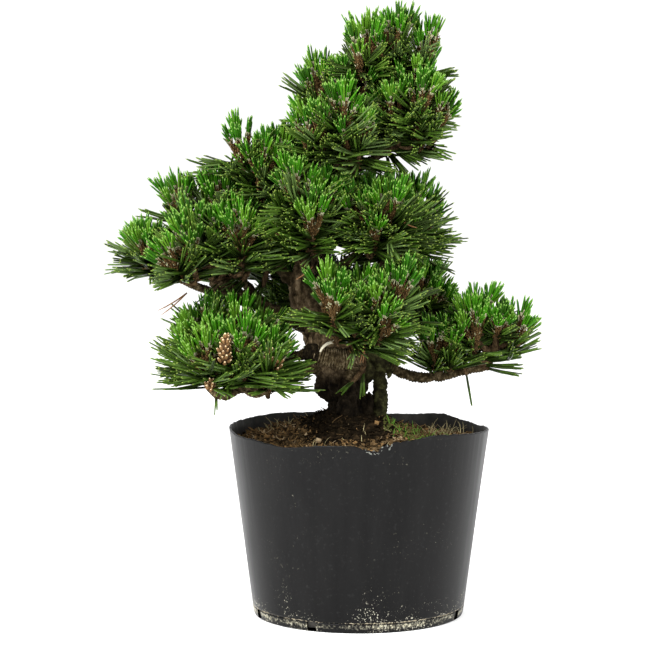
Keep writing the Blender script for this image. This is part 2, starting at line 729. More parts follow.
    def build(self) -> None:
        """Show the trunk with its knots, the side stem, the boughs and the cut stub."""
        trunk = [self.skeleton.trunk.shell(), *(self.growth(rows) for rows in self.TRUNK_KNOTS)]
        show("trunk_bark", Shell.joined(trunk), [self.finish], ("trunk",))
        stem = [self.bough_shell(self.skeleton.stem.limb(40)), *(self.growth(rows) for rows in self.STEM_KNOTS)]
        show("side_stem_bark", Shell.joined(stem), [self.mossy], ("side_stem",))
        named = [bough for bough in BOUGHS if bough.name != "cut_stub"]
        shells = [self.bough_shell(self.fine_limb(bough), self.RIDGES.get(bough.name, 0.00032)) for bough in named]
        shells += [self.growth(rows) for rows in self.BOUGH_KNOTS]
        names = tuple(bough.name for bough in named)
        show("bough_bark", Shell.joined(shells), [self.rough], names)
        stub = next(bough for bough in BOUGHS if bough.name == "cut_stub")
        limb = self.fine_limb(stub, self.STUB_STEP)
        ends = limb.points[-1] + self.END_HEADING * np.array((-0.0055, -0.0035, 0.0, 0.0025, 0.0040, 0.0044))[:, None]
        radii = np.array((0.0040, 0.0056, 0.0063, 0.0063, 0.0054, 0.0030))
        fine = np.repeat(radii[None, :, None], 24, axis=2)
        around = tubes(ends[None], fine, 24).vertices[:-2].reshape(1, len(radii), 24, 3)
        end = tubes(ends[None], fine + lattice_noise(around, 0.0035, 54) * 0.0008, 24, 1)
        shell = Shell.joined([self.bough_shell(limb, 0.0008), end])
        finishes = [self.ridged, self.CUT_END.material()]
        show("cut_stub_bark", shell, finishes, ("cut_stub",))
        read = smooth_course(np.array(self.PEELED_STRIP) * MM, np.linspace(0, 1, 24))
        strip = tubes(read[None, :, :3], read[None, :, 3], 8)
        show("peeled_strip", strip, [self.PEELED.material()], ("cut_stub",))


@dataclass(frozen=True)
class Mass:
    """One mass of foliage: shoots dealt over a dome by the golden angle."""

    name: str
    bough: str
    heart: tuple[float, float, float]  # centre of the dome's foot, in millimetres
    spread: tuple[float, float, float]  # half width, half depth and height, in millimetres
    shoots: int
    turn: float  # degrees, direction of the shoot nearest the heart
    needles: float  # length of the old needles
    side_heads: int = 1  # on each shoot
    lowest: float = 98.0  # degrees from a neck's axis, of its lowest spray of old needles
    pale: float = 0.0  # share of the sprays of old needles in the two palest shades
    neck: float = 1.0  # length of the heads' necks, as a share of the plan's
    size: float = 1.0  # of the heads, as a share of the usual
    stunted: tuple[int, ...] = ()  # the shoots whose heads are about half as large
    bare: float = 0.67  # share of a candle's length under its young needles
    highest: float = 50.0  # degrees from a neck's axis, of its highest spray of old needles


class Region(Enum):
    """Neighbouring masses that are joined, each kind of leaf apart."""

    APEX = "apex"
    SHOULDER = "shoulder"
    LEFT = "left"
    MIDDLE = "middle"
    BACK = "back"
    LOW_LEFT = "low_left"
    FRONT = "front"
    LOW_RIGHT = "low_right"


MASSES = {
    Region.APEX: (
        Mass("foliage_apex_top", "trunk", (20, 3, 364), (28, 21, 12), 5, 307, 0.028),
        Mass("foliage_apex_left", "bough_apex_left", (-15, 2, 334), (18, 16, 12), 4, 42, 0.027),
        Mass("foliage_apex_front", "bough_apex_front", (-14, -20, 312), (17, 10, 14), 4, 300, 0.029),
        Mass("foliage_apex_right", "bough_apex_right", (35, -9, 323), (16, 17, 23), 6, 20, 0.026),
        Mass("foliage_apex_back", "bough_apex_back", (8, 36, 328), (26, 14, 18), 5, 80, 0.028),
    ),
    Region.SHOULDER: (
        Mass("foliage_upper_left", "bough_upper_left", (-62, -2, 309), (17, 16, -26), 4, 127, 0.032),
        Mass("foliage_upper_left_back", "bough_upper_left_back", (-48, 44, 285), (22, 14, 12), 5, 60, 0.030),
        Mass("foliage_left_high", "bough_left_high", (-90, 8, 265), (29, 16, 8), 5, 350, 0.031),
    ),
    Region.LEFT: (
        Mass("foliage_left_tip", "bough_left_tip", (-138, -2, 236), (10, 14, 6), 3, 150, 0.031, 0, neck=0.7, size=0.84),
        Mass("foliage_left_front", "bough_left", (-90, -24, 239), (30, 14, 16), 5, 40, 0.033),
        Mass("foliage_left_back", "bough_left_back", (-88, 42, 238), (28, 16, 12), 5, 100, 0.030),
    ),
    Region.MIDDLE: (
        Mass("foliage_centre", "bough_centre", (-34, -24, 254), (18, 14, 34), 5, 90, 0.033),
        Mass("foliage_mid_right", "bough_mid_right", (16, -18, 259), (18, 11, 10), 4, 150, 0.034),
        Mass("foliage_right_shoulder", "bough_right_shoulder", (31, 14, 249), (16, 16, 18), 5, 340, 0.033),
    ),
    Region.BACK: (
        Mass("foliage_mid_back", "bough_mid_back", (-8, 50, 262), (26, 14, 16), 5, 100, 0.031),
        Mass("foliage_right_back", "bough_right_back", (36, 34, 206), (16, 16, 8), 4, 20, 0.029),
        Mass("foliage_back_low", "bough_back_low", (2, 50, 194), (26, 14, 14), 5, 70, 0.031),
        Mass("foliage_back_left", "bough_back_left", (-38, 50, 208), (20, 14, 12), 4, 120, 0.028),
    ),
    Region.LOW_LEFT: (
        Mass("foliage_low_left", "bough_low_left", (-82, -48, 166), (26, 14, 14), 5, 170, 0.036, pale=0.65, neck=0.65, bare=0.70),
        Mass("foliage_low_left_rear", "bough_low_left_rear", (-90, -24, 184), (27, 12, 8), 5, 180, 0.032, pale=0.5, bare=0.70),
    ),
    Region.FRONT: (
        Mass("foliage_front_centre", "bough_front_centre", (-1, -42, 215), (26, 13, -20), 7, 255, 0.031, bare=0.70),
    ),
    Region.LOW_RIGHT: (
        Mass("foliage_low_right", "bough_low_right", (85, 0, 178), (20, 16, 18), 6, 180, 0.027, 0, 80, neck=0.6, stunted=(1,), bare=0.76, highest=58),
        Mass("foliage_low_right_inner", "spur_low_right", (54, -5, 172), (10, 8, 2), 2, 200, 0.025, 0, 64, neck=0.5, bare=0.72, highest=54),
    ),
}


@dataclass(frozen=True)
class Stalks:
    """Straight stalks that carry needles: the foot, direction and size of each."""

    feet: np.ndarray
    axes: np.ndarray
    sizes: np.ndarray

    def fan(self, owner: np.ndarray, turns: np.ndarray, leans: np.ndarray) -> tuple[np.ndarray, np.ndarray]:
        """Directions that lean away from stalks.

        Args:
            owner: the stalk of each direction.
            turns: turns about the stalk, in radians.
            leans: angles from the stalk, in radians.

        Returns:
            The unit vectors square to the stalks, and the leaning directions: the stalk's
            direction times the lean's cosine plus that vector times its sine.
        """
        first, second = across(self.axes[owner])
        out = first * np.cos(turns)[:, None] + second * np.sin(turns)[:, None]
        return out, self.axes[owner] * np.cos(leans)[:, None] + out * np.sin(leans)[:, None]


@dataclass(frozen=True)
class GrowthRule:
    """The source's rule for shoots and twigs, carried on to side heads and candles."""

    gap: float = 0.0003
    stem_heading: float = 0.0040
    lowest_side_twig: float = 0.12
    side_twig_rise: float = 0.45
    shoot_lean: float = 0.22
    crown_lean: float = 0.10
    crown_radius: float = 0.100
    settle: float = 0.0046  # how far a head sits below its shoot's end
    side_reach: float = 0.0110
    side_drop: float = 0.0080

    def shoots(self, mass: Mass, trunk: Limb) -> tuple[np.ndarray, np.ndarray]:
        """Foot and axis of each shoot: golden-angle steps over a dome, leaning outward.

        Args:
            mass: the mass of foliage.
            trunk: the trunk's line.

        Returns:
            (shoots, 3) feet and (shoots, 3) axes.
        """
        heart = mm(*mass.heart)
        nearest = trunk.points[np.abs(trunk.points[:, 2] - heart[2]).argmin()]
        outward = (heart - nearest) * (1.0, 1.0, 0.0)
        length = np.linalg.norm(outward)
        away = outward / length * min(length / self.crown_radius, 1.0) * self.crown_lean
        number = np.arange(mass.shoots)[:, None]
        reach = np.sqrt((number + 0.5) / mass.shoots)
        angle = math.radians(mass.turn) + number * GOLDEN_ANGLE
        side = np.hstack([np.cos(angle), np.sin(angle), np.zeros_like(angle)])
        offset = np.hstack([reach * side[:, :1], reach * side[:, 1:2], 1 - reach**2]) * mm(*mass.spread)
        return heart + offset, unit(UP + side * self.shoot_lean * reach + away)

    def heads(self, mass: Mass, trunk: Limb, chance: np.random.Generator) -> tuple[Stalks, Stalks, np.ndarray]:
        """The head on each shoot, and smaller heads that lean out round its neck.

        Args:
            mass: the mass of foliage.
            trunk: the trunk's line.
            chance: the mass's own random numbers.

        Returns:
            The shoots' heads, the side heads, and the shoot of each side head.
        """
        feet, axes = self.shoots(mass, trunk)
        feet = feet - axes * self.settle
        sizes = mass.size * chance.uniform(0.94, 1.08, len(feet))
        sizes[list(mass.stunted)] *= 0.52
        main = Stalks(feet, axes, sizes)
        owner = np.repeat(np.arange(len(feet)), mass.side_heads)
        turns = np.tile(np.arange(mass.side_heads) * GOLDEN_ANGLE, len(feet))
        turns = turns + np.repeat(chance.uniform(0, math.tau, len(feet)), mass.side_heads)
        out, leaning = main.fan(owner, turns, chance.uniform(0.15, 0.50, len(owner)))
        reach = self.side_reach * chance.uniform(0.8, 1.15, len(owner))
        drop = self.side_drop * chance.uniform(0.3, 1.6, len(owner))
        side_feet = feet[owner] + out * reach[:, None] - axes[owner] * drop[:, None]
        return main, Stalks(side_feet, leaning, mass.size * chance.uniform(0.70, 0.92, len(owner))), owner


def needle_shell(
    roots: np.ndarray,
    headings: np.ndarray,
    bends: np.ndarray,
    lengths: np.ndarray,
    radii: np.ndarray,
    rolls: np.ndarray,
    joint: float,
    shoulder: float,
    finishes: np.ndarray,
) -> Shell:
    """Needles: three-sided, with rings at the root, the joint and the blunt tip's shoulder.

    A needle's middle line is its root plus its heading times the share of its length, plus its
    bend times the share squared. A ring's three points stand round that line.

    Args:
        roots: (n, 3) places.
        headings: (n, 3) unit vectors.
        bends: (n, 3) how far the tip is drawn aside, in metres.
        lengths: (n,) lengths.
        radii: (n,) radii.
        rolls: (n,) turns about the heading.
        joint: share of the length at which the second ring stands.
        shoulder: share of the length at which the third ring stands.
        finishes: (n, 3) finish numbers of the foot, the blade and the tip.

    Returns:
        The needles' shell.
    """
    count = len(roots)
    shares = np.array((0.0, joint, shoulder))
    first, second = across(headings)
    angles = rolls[:, None] + np.arange(3) * math.tau / 3
    around = first[:, None] * np.cos(angles)[..., None] + second[:, None] * np.sin(angles)[..., None]
    line = (
        roots[:, None]
        + headings[:, None] * (lengths[:, None] * shares)[..., None]
        + bends[:, None] * (shares**2)[:, None]
    )
    thick = radii[:, None] * np.array((0.9, 1.0, 0.7))
    rings = line[:, :, None] + around[:, None] * thick[..., None, None]
    tips = roots + headings * lengths[:, None] + bends
    places = np.concatenate([rings.reshape(count, 9, 3), tips[:, None]], axis=1)
    side = np.arange(3)
    following = (side + 1) % 3
    lower = np.stack([side, following, following + 3, side + 3], -1)
    point = np.stack([side + 6, following + 6, np.full(3, 9), np.full(3, 9)], -1)
    faces = np.vstack([(2, 1, 0, 0), lower, lower + 3, point])
    part = np.array((0, 0, 0, 0, 1, 1, 1, 2, 2, 2))
    each = np.arange(count)[:, None, None] * 10
    return Shell(places, (faces[None] + each).reshape(-1, 4), finishes[:, part].ravel())


@dataclass(frozen=True)
class Reach:
    """A spray of old needles of its own, on a short twig, that hangs or reaches out."""

    root: tuple[float, float, float]  # millimetres
    tip: tuple[float, float, float]  # millimetres
    pairs: int
    spread: float  # how far the needles stand apart, in radians


REACHES = {
    Region.LEFT: (
        Reach((-104, -18, 224), (-138, -20, 223), 7, 0.10),
        Reach((-92, -22, 222), (-112, -28, 207), 6, 0.16),
        Reach((-76, -20, 222), (-92, -28, 205), 6, 0.16),
        Reach((-62, -16, 220), (-68, -26, 202), 6, 0.20),
    ),
    Region.LOW_LEFT: (
        Reach((-98, -54, 166), (-131, -60, 167), 7, 0.09),
        Reach((-96, -54, 164), (-128, -60, 162), 6, 0.08),
        Reach((-92, -52, 162), (-122, -60, 158), 5, 0.08),
        Reach((-70, -50, 158), (-92, -60, 151), 5, 0.12),
        Reach((-66, -50, 158), (-48, -56, 150), 4, 0.12),
        Reach((-60, -48, 167), (-31, -48, 173.5), 5, 0.09),
        Reach((-58, -50, 165), (-27, -50, 169.5), 6, 0.08),
        Reach((-58, -50, 162), (-29, -52, 165.5), 5, 0.08),
        Reach((-60, -52, 159), (-34, -54, 158), 4, 0.07),
        Reach((-62, -52, 157), (-40, -56, 153.5), 2, 0.05),
        Reach((-91.7, -55, 153), (-90.5, -58, 136), 1, 0.02),
    ),
    Region.FRONT: (
        Reach((8, -44, 184), (40, -54, 184), 8, 0.10),
        Reach((6, -44, 183), (37, -54, 177), 8, 0.10),
        Reach((4, -44, 182), (30, -56, 171), 7, 0.12),
        Reach((-9.5, -29, 170), (-18, -29, 157), 3, 0.14),
        Reach((-4, -28, 157.5), (-16, -27, 147.5), 2, 0.10),
        Reach((2.5, -27, 164), (1.2, -26, 143), 2, 0.05),
    ),
    Region.LOW_RIGHT: (
        Reach((84, -3, 163), (109, -8, 156), 3, 0.04),
        Reach((84, -3, 165), (110, -6, 162.5), 3, 0.05),
        Reach((84, -3, 167), (109, -4, 169), 5, 0.08),
        Reach((82, -3, 170), (107, -5, 176), 5, 0.09),
        Reach((70.5, -3, 161), (75, -4, 134.5), 1, 0.015),
    ),
    Region.APEX: (
        Reach((26, -10, 308), (52, -12, 301), 6, 0.12),
        Reach((24, -12, 307), (44, -18, 296), 6, 0.14),
        Reach((20, -8, 303), (30, -16, 285), 5, 0.16),
    ),
    Region.MIDDLE: (
        Reach((38, 8, 247), (68, 4, 247), 6, 0.09),
        Reach((38, 10, 244), (66, 6, 240), 6, 0.09),
    ),
}


@dataclass(frozen=True)
class HeadPlan:
    """How many candles and needles a head carries."""

    candles: int
    young_pairs: int  # on each candle
    scales: int  # on each candle
    sprays: int  # of old needles
    spray_pairs: int  # in each spray
    neck: float  # length of bare shoot below the head that carries old needles, in metres


class Foliage:
    """The needles, candles and twigs of every mass, by the source's rule."""

    YOUNG_SHADES = (
        PlainFinish("young_needle_bright", (0.031, 0.132, 0.003), 0.42, 0.12, WAX),
        PlainFinish("young_needle_fresh", (0.019, 0.092, 0.003), 0.40, 0.12, WAX),
        PlainFinish("young_needle_deep", (0.014, 0.058, 0.002), 0.40, 0.12, WAX),
        PlainFinish("young_needle_yellow", (0.060, 0.150, 0.008), 0.44, 0.12, WAX),
    )
    OLD_SHADES = (
        PlainFinish("old_needle_dark", (0.013, 0.026, 0.003), 0.38, 0.16, WAX),
        PlainFinish("old_needle_green", (0.025, 0.055, 0.005), 0.38, 0.16, WAX),
        PlainFinish("old_needle_soft", (0.046, 0.092, 0.010), 0.40, 0.16, WAX),
        PlainFinish("old_needle_grey", (0.064, 0.108, 0.026), 0.40, 0.18),
    )
    YOUNG_TIP = PlainFinish("young_needle_tip", (0.125, 0.240, 0.038), 0.45, 0.15)
    OLD_TIP = PlainFinish("old_needle_tip", (0.125, 0.180, 0.022), 0.45, 0.2)
    SHEATH = PlainFinish("papery_sheath", (0.360, 0.355, 0.215), 0.8, 0.05)
    CANDLE = PlainFinish("candle_core", (0.040, 0.023, 0.007), 0.8, 0.1)
    SCALE = PlainFinish("candle_scale", (0.108, 0.062, 0.021), 0.8, 0.1)
    PAPERY_SCALES = 0.09  # share of a candle's scales that are pale
    MAIN = HeadPlan(candles=6, young_pairs=7, scales=50, sprays=10, spray_pairs=5, neck=0.0150)
    SIDE = HeadPlan(candles=3, young_pairs=6, scales=44, sprays=6, spray_pairs=5, neck=0.0100)

    CANDLE_LENGTH = 0.0230
    CANDLE_RADIUS = 0.00145
    TWIN_GAP = 0.0005
    NECK_RADIUS = 0.0023
    YOUNG_LENGTH = 0.0142
    YOUNG_RADIUS = 0.00084
    OLD_RADIUS = 0.00078
    TRIED = (0.3, 0.5, 0.7, 0.85, 1.0)  # shares of a needle's length where it has to clear the limbs

    # least and greatest x, y and z of the boxes that no needle enters, in millimetres: the cut
    # stub's front, the undersides of the low and left masses, the gaps between the masses, and
    # the pollen cones' front
    OPEN = (
        ((-36, -90, 175), (-9, -13, 190)),
        ((-27, -90, 166), (-9, -13, 175)),
        ((20, -60, 100), (69, 40, 155)),
        ((-40, -90, 124), (-26, -4, 152)),
        ((-160, -90, 198), (-124, 30, 218)),
        ((-124, -90, 209), (-104, 30, 218)),
        ((-140, -90, 126), (-93, 0, 155)),
        ((-88, -90, 126), (-28, 0, 151)),
        ((67, -70, 300), (100, 70, 361)),
        ((48, -70, 290), (100, 70, 300)),
        ((57, -70, 361), (100, 70, 392)),
        ((-34, -70, 376), (-12, 70, 400)),
        ((-69, -70, 314), (-61, 30, 332)),
        ((-112, -70, 303), (-90, 70, 330)),
        ((-64, -80, 207), (-32, -13, 221)),
        ((-90, -90, 172), (-81, -62, 193)),
        ((-98, -90, 154), (-92, -58, 162)),
        ((121.5, -70, 150), (140, 70, 200)),
        ((66, -20, 220), (80, 60, 237)),
        ((75, -60, 176), (91, -5, 191)),
    )

    def __init__(self, skeleton: Skeleton, rule: GrowthRule) -> None:
        """Keep the limbs and the rule, and make the finishes."""
        self.skeleton = skeleton
        self.rule = rule
        self.open = np.array(self.OPEN) * MM
        shades = (*self.YOUNG_SHADES, *self.OLD_SHADES, self.YOUNG_TIP, self.OLD_TIP, self.SHEATH)
        self.materials = [shade.material() for shade in shades]
        self.young_tip = len(self.YOUNG_SHADES) + len(self.OLD_SHADES)
        self.old_tip = self.young_tip + 1
        self.sheath = self.young_tip + 2
        self.twig_materials = [
            MottledFinish(
                "twig_bark", (0.013, 0.008, 0.004), (0.046, 0.029, 0.014), (0.120, 0.079, 0.040),
                patch=0.003, grain=0.0007, depth=0.0004,
            ).material(),
            self.CANDLE.material(),
            self.SCALE.material(),
            self.materials[self.sheath],
        ]

    def twig_lines(self, mass: Mass, main: Stalks, side: Stalks, owner: np.ndarray) -> list[np.ndarray]:
        """Lines of a mass's twigs, from the bough's tip to its heads.

        Args:
            mass: the mass of foliage.
            main: the shoots' heads.
            side: the side heads.
            owner: the shoot of each side head.

        Returns:
            The shoots' lines and, where there are side heads, theirs: (n, points, 3) each.
        """
        rule = self.rule
        limb = self.skeleton.limbs[mass.bough]
        heading = UP if mass.bough == "trunk" else unit(limb.points[-1] - limb.points[-2])
        foot = limb.points[-1] + heading * rule.gap
        bend = foot + heading * rule.stem_heading
        number = np.arange(mass.shoots)
        leave = np.where(number > 0, rule.lowest_side_twig + rule.side_twig_rise * number / mass.shoots, 0)
        starts = bend + (main.feet[0] - bend) * leave[:, None]
        starts[0] = foot
        share = np.linspace(0, 1, 9)[:, None]
        belly = UP * 0.12 * np.linalg.norm(main.feet - starts, axis=1)[:, None]
        lines = starts[:, None] * (1 - share) + (main.feet + main.axes * 0.002)[:, None] * share
        lines = lines - belly[:, None] * (np.sin(math.pi * share) * (1 - share))
        if not len(owner):
            return [lines]
        share = np.linspace(0, 1, 6)[:, None]
        start = (main.feet - main.axes * self.MAIN.neck * mass.neck)[owner][:, None]
        end = (side.feet - side.axes * self.SIDE.neck * 0.8 * mass.neck)[:, None]
        middle = end - (side.axes * 0.005)[:, None]
        return [lines, start * (1 - share) ** 2 + middle * 2 * share * (1 - share) + end * share**2]

    def candles(self, heads: Stalks, plan: HeadPlan, chance: np.random.Generator) -> Stalks:
        """Candles that fan out of each head: the first upright, the next leaning further."""
        owner = np.repeat(np.arange(len(heads.feet)), plan.candles)
        number = np.tile(np.arange(plan.candles), len(heads.feet))
        turns = number * GOLDEN_ANGLE + np.repeat(chance.uniform(0, math.tau, len(heads.feet)), plan.candles)
        leans = np.radians(5 + 14.5 * np.sqrt(number / 2) + chance.normal(0, 2.5, len(number)))
        out, leaning = heads.fan(owner, turns, leans)
        foot = heads.feet[owner] + out * (0.0011 * np.sqrt(number))[:, None]
        sizes = heads.sizes[owner] * chance.uniform(0.78, 1.08, len(number)) * (1 - 0.05 * number)
        top = foot + leaning * (sizes * (self.CANDLE_LENGTH + self.YOUNG_LENGTH * 0.8))[:, None]
        clear = ~self.inside_open(top)
        return Stalks(foot[clear], leaning[clear], sizes[clear])

    def inside_open(self, places: np.ndarray) -> np.ndarray:
        """Which places lie inside an open box."""
        inside = (places[:, None] > self.open[:, 0]) & (places[:, None] < self.open[:, 1])
        return inside.all(axis=2).any(axis=1)

    def pairs(
        self, stalks: Stalks, count: int, low: float, high: float, splay: tuple[float, float],
        chance: np.random.Generator, radius: float, part: float,
    ) -> tuple[np.ndarray, np.ndarray, np.ndarray, np.ndarray]:
        """Roots and headings of needle pairs on a golden-angle spiral up each stalk.

        Args:
            stalks: what carries them.
            count: pairs on each stalk.
            low: height of the lowest pair over the stalk's foot.
            high: height of the highest.
            splay: degrees from the axis, of the lowest and of the highest.
            chance: random numbers.
            radius: the stalk's radius.
            part: how far a pair's needles stand apart, in degrees.

        Returns:
            Roots and headings (n, 3), the stalk of each needle, and its share of the way up.
        """
        total = len(stalks.feet)
        share = np.tile((np.arange(count) + 0.5) / count, total)
        owner = np.repeat(np.arange(total), count)
        turns = np.tile(np.arange(count) * GOLDEN_ANGLE, total) + np.repeat(chance.uniform(0, 6.28, total), count)
        turns = turns + chance.normal(0, 0.15, len(turns))
        degrees = splay[0] + (splay[1] - splay[0]) * share**0.8 + chance.normal(0, 5, len(turns))
        out, headings = stalks.fan(owner, turns, np.radians(np.clip(degrees, 2, 118)))
        height = (low + (high - low) * share) * stalks.sizes[owner]
        roots = stalks.feet[owner] + stalks.axes[owner] * height[:, None] + out * radius
        aside = unit(np.cross(headings, out) + 1e-9)
        aside = aside * np.radians(chance.uniform(0.5, 1.3, len(turns)) * part / 2)[:, None]
        twin = np.tile((1.0, -1.0), len(turns))[:, None]
        headings = unit(np.repeat(headings, 2, axis=0) + np.repeat(aside, 2, axis=0) * twin)
        beside = np.repeat(unit(aside), 2, axis=0) * twin * self.TWIN_GAP
        return np.repeat(roots, 2, axis=0) + beside, headings, np.repeat(owner, 2), np.repeat(share, 2)

    def shades(self, owner: np.ndarray, options: int, odd: float, chance: np.random.Generator) -> np.ndarray:
        """A shade for each needle: one for its spray, and another for a share of odd ones."""
        spray = chance.integers(0, options, owner.max() + 1)[owner]
        return np.where(chance.random(len(owner)) < odd, chance.integers(0, options, len(owner)), spray)

    def young(self, candles: Stalks, plan: HeadPlan, bare: float, chance: np.random.Generator) -> Shell:
        """The young needles on candles: short, upright, bright, each from a papery sheath."""
        roots, headings, owner, share = self.pairs(
            candles, plan.young_pairs, self.CANDLE_LENGTH * bare, self.CANDLE_LENGTH, (24, 6),
            chance, self.CANDLE_RADIUS * 0.8, 3.5,
        )
        lengths = self.YOUNG_LENGTH * (1.02 - 0.1 * share) * candles.sizes[owner] ** 0.5
        lengths = lengths * chance.uniform(0.85, 1.08, len(roots))
        blade = self.shades(owner, len(self.YOUNG_SHADES), 0.3, chance)
        marks = np.stack([np.full(len(roots), self.sheath), blade, np.full(len(roots), self.young_tip)], -1)
        bends = chance.normal(0, 0.0005, (len(roots), 3))
        radii = self.YOUNG_RADIUS * chance.uniform(0.85, 1.15, len(roots))
        return self.kept(roots, headings, bends, lengths, radii, (0.20, 0.86), marks, chance)

    def sprays(
        self, heads: Stalks, plan: HeadPlan, mass: Mass, chance: np.random.Generator
    ) -> tuple[np.ndarray, np.ndarray, np.ndarray, np.ndarray]:
        """Roots and headings of old needles, which stand in sprays round each neck.

        A spray's direction follows the golden angle round the neck, and leans less the higher it
        stands. Its pairs keep nearly to that direction, from roots a little apart, so that they
        lie in near-parallel layers.

        Args:
            heads: the heads whose necks carry them.
            plan: how many sprays, and pairs in each.
            mass: the mass that the heads belong to.
            chance: random numbers.

        Returns:
            Roots and headings (n, 3), the head of each needle, and the spray of each needle.
        """
        total = len(heads.feet)
        number = np.tile(np.arange(plan.sprays), total)
        share = (number + 0.5) / plan.sprays
        owner = np.repeat(np.arange(total), plan.sprays)
        turns = number * GOLDEN_ANGLE + np.repeat(chance.uniform(0, math.tau, total), plan.sprays)
        turns = turns + chance.normal(0, 0.25, len(turns))
        degrees = mass.lowest + (mass.highest - mass.lowest) * share
        degrees = np.clip(degrees + chance.normal(0, 7, len(turns)), 12, 112)
        out, headings = heads.fan(owner, turns, np.radians(degrees))
        height = plan.neck * (0.92 * share - 0.90)
        spray = np.repeat(np.arange(len(turns)), plan.spray_pairs)
        owner = owner[spray]
        height = (height[spray] + chance.normal(0, 0.0018, len(spray))) * heads.sizes[owner]
        roots = heads.feet[owner] + heads.axes[owner] * height[:, None] + out[spray] * 0.0016
        first, second = across(headings)
        lean = chance.normal(0, 0.09, (2, len(spray), 1))
        headings = unit(headings[spray] + first[spray] * lean[0] + second[spray] * lean[1])
        roots = roots + (first[spray] * lean[0] + second[spray] * lean[1]) * 0.006
        aside = unit(np.cross(headings, heads.axes[owner]) + 1e-9)
        twin = np.tile((1.0, -1.0), len(spray))[:, None]
        part = np.radians(chance.uniform(1.0, 3.2, len(spray)))[:, None]
        headings = unit(np.repeat(headings, 2, axis=0) + np.repeat(aside * part, 2, axis=0) * twin)
        roots = np.repeat(roots, 2, axis=0) + np.repeat(aside, 2, axis=0) * twin * self.TWIN_GAP
        return roots, headings, np.repeat(owner, 2), np.repeat(spray, 2)

    def old(self, heads: Stalks, plan: HeadPlan, mass: Mass, chance: np.random.Generator) -> Shell:
        """The old needles of heads: long, in sprays below the young ones, dark, tips paler."""
        roots, headings, owner, spray = self.sprays(heads, plan, mass, chance)
        lengths = mass.needles * heads.sizes[owner] * chance.uniform(0.76, 1.02, len(roots))
        blade = self.shades(spray, len(self.OLD_SHADES), 0.3, chance)
        pale = chance.random(spray.max() + 1)[spray] < mass.pale
        blade = np.where(pale, chance.choice((1, 2, 2, 3), len(roots)), blade) + len(self.YOUNG_SHADES)
        inner = np.where(chance.random(len(roots)) < 0.75 - 0.5 * mass.pale, len(self.YOUNG_SHADES), blade)
        marks = np.stack([inner, blade, np.full(len(roots), self.old_tip)], -1)
        bends = heads.axes[owner] * (lengths * 0.06)[:, None] + chance.normal(0, 0.0007, (len(roots), 3))
        radii = self.OLD_RADIUS * chance.uniform(0.85, 1.15, len(roots))
        return self.kept(roots, headings, bends, lengths, radii, (0.45, 0.955), marks, chance)

    def reaching(self, reaches: tuple[Reach, ...], chance: np.random.Generator) -> tuple[Shell, list[Shell]]:
        """The needles and twigs of the sprays that have a place of their own.

        A spray's needles run from near its root toward its tip, in near-parallel pairs; its twig
        runs back from the root, up and inward.

        Args:
            reaches: the sprays.
            chance: random numbers.

        Returns:
            The needles, and the twigs' shells.
        """
        root = np.array([reach.root for reach in reaches]) * MM
        line = np.array([reach.tip for reach in reaches]) * MM - root
        spray = np.repeat(np.arange(len(reaches)), [2 * reach.pairs for reach in reaches])
        heading = unit(line)
        first, second = across(heading)
        spread = np.array([reach.spread for reach in reaches])[spray, None]
        lean = chance.normal(0, 1, (2, len(spray), 1)) * spread
        aside = first[spray] * lean[0] + second[spray] * lean[1]
        lengths = np.linalg.norm(line, axis=1)[spray] * chance.uniform(0.72, 1.0, len(spray))
        blade = self.shades(spray, 3, 0.4, chance) + len(self.YOUNG_SHADES)
        marks = np.stack([np.full(len(spray), len(self.YOUNG_SHADES)), blade, np.full(len(spray), self.old_tip)], -1)
        bends = UP * (lengths * 0.05)[:, None] + chance.normal(0, 0.0006, (len(spray), 3))
        radii = self.OLD_RADIUS * chance.uniform(0.85, 1.15, len(spray))
        needles = self.kept(
            root[spray] + aside * 0.008, unit(heading[spray] + aside), bends, lengths, radii,
            (0.45, 0.955), marks, chance,
        )
        share = np.linspace(-0.010, 0.003, 6)[None, :, None]
        course = root[:, None] + heading[:, None] * share
        course = course + np.array((0.0, 0.0, 1.0)) * np.minimum(share, 0) ** 2 * 45
        radii = np.broadcast_to(np.array((0.0016, 0.0017, 0.0018, 0.0018, 0.0015, 0.0007)), course.shape[:2])
        return needles, [tubes(course, radii, 7)]

    def kept(
        self, roots: np.ndarray, headings: np.ndarray, bends: np.ndarray, lengths: np.ndarray,
        radii: np.ndarray, rings: tuple[float, float], marks: np.ndarray, chance: np.random.Generator,
    ) -> Shell:
        """The needles that stay clear of every limb and out of every open box, as a shell."""
        tips = roots + headings * lengths[:, None] + bends
        low = np.array(cad_box[0]) - 0.004
        high = np.array(cad_box[1]) + 0.004
        clear = ((tips > low) & (tips < high)).all(axis=1)
        for share in self.TRIED:
            places = roots + headings * (lengths * share)[:, None] + bends * share**2
            clear &= self.skeleton.clear(places) > 0.0003
            if share > 0.4:
                clear &= ~self.inside_open(places)
        rolls = chance.uniform(0, math.tau, len(roots))
        return needle_shell(
            roots[clear], headings[clear], bends[clear], lengths[clear], radii[clear], rolls[clear],
            *rings, marks[clear],
        )

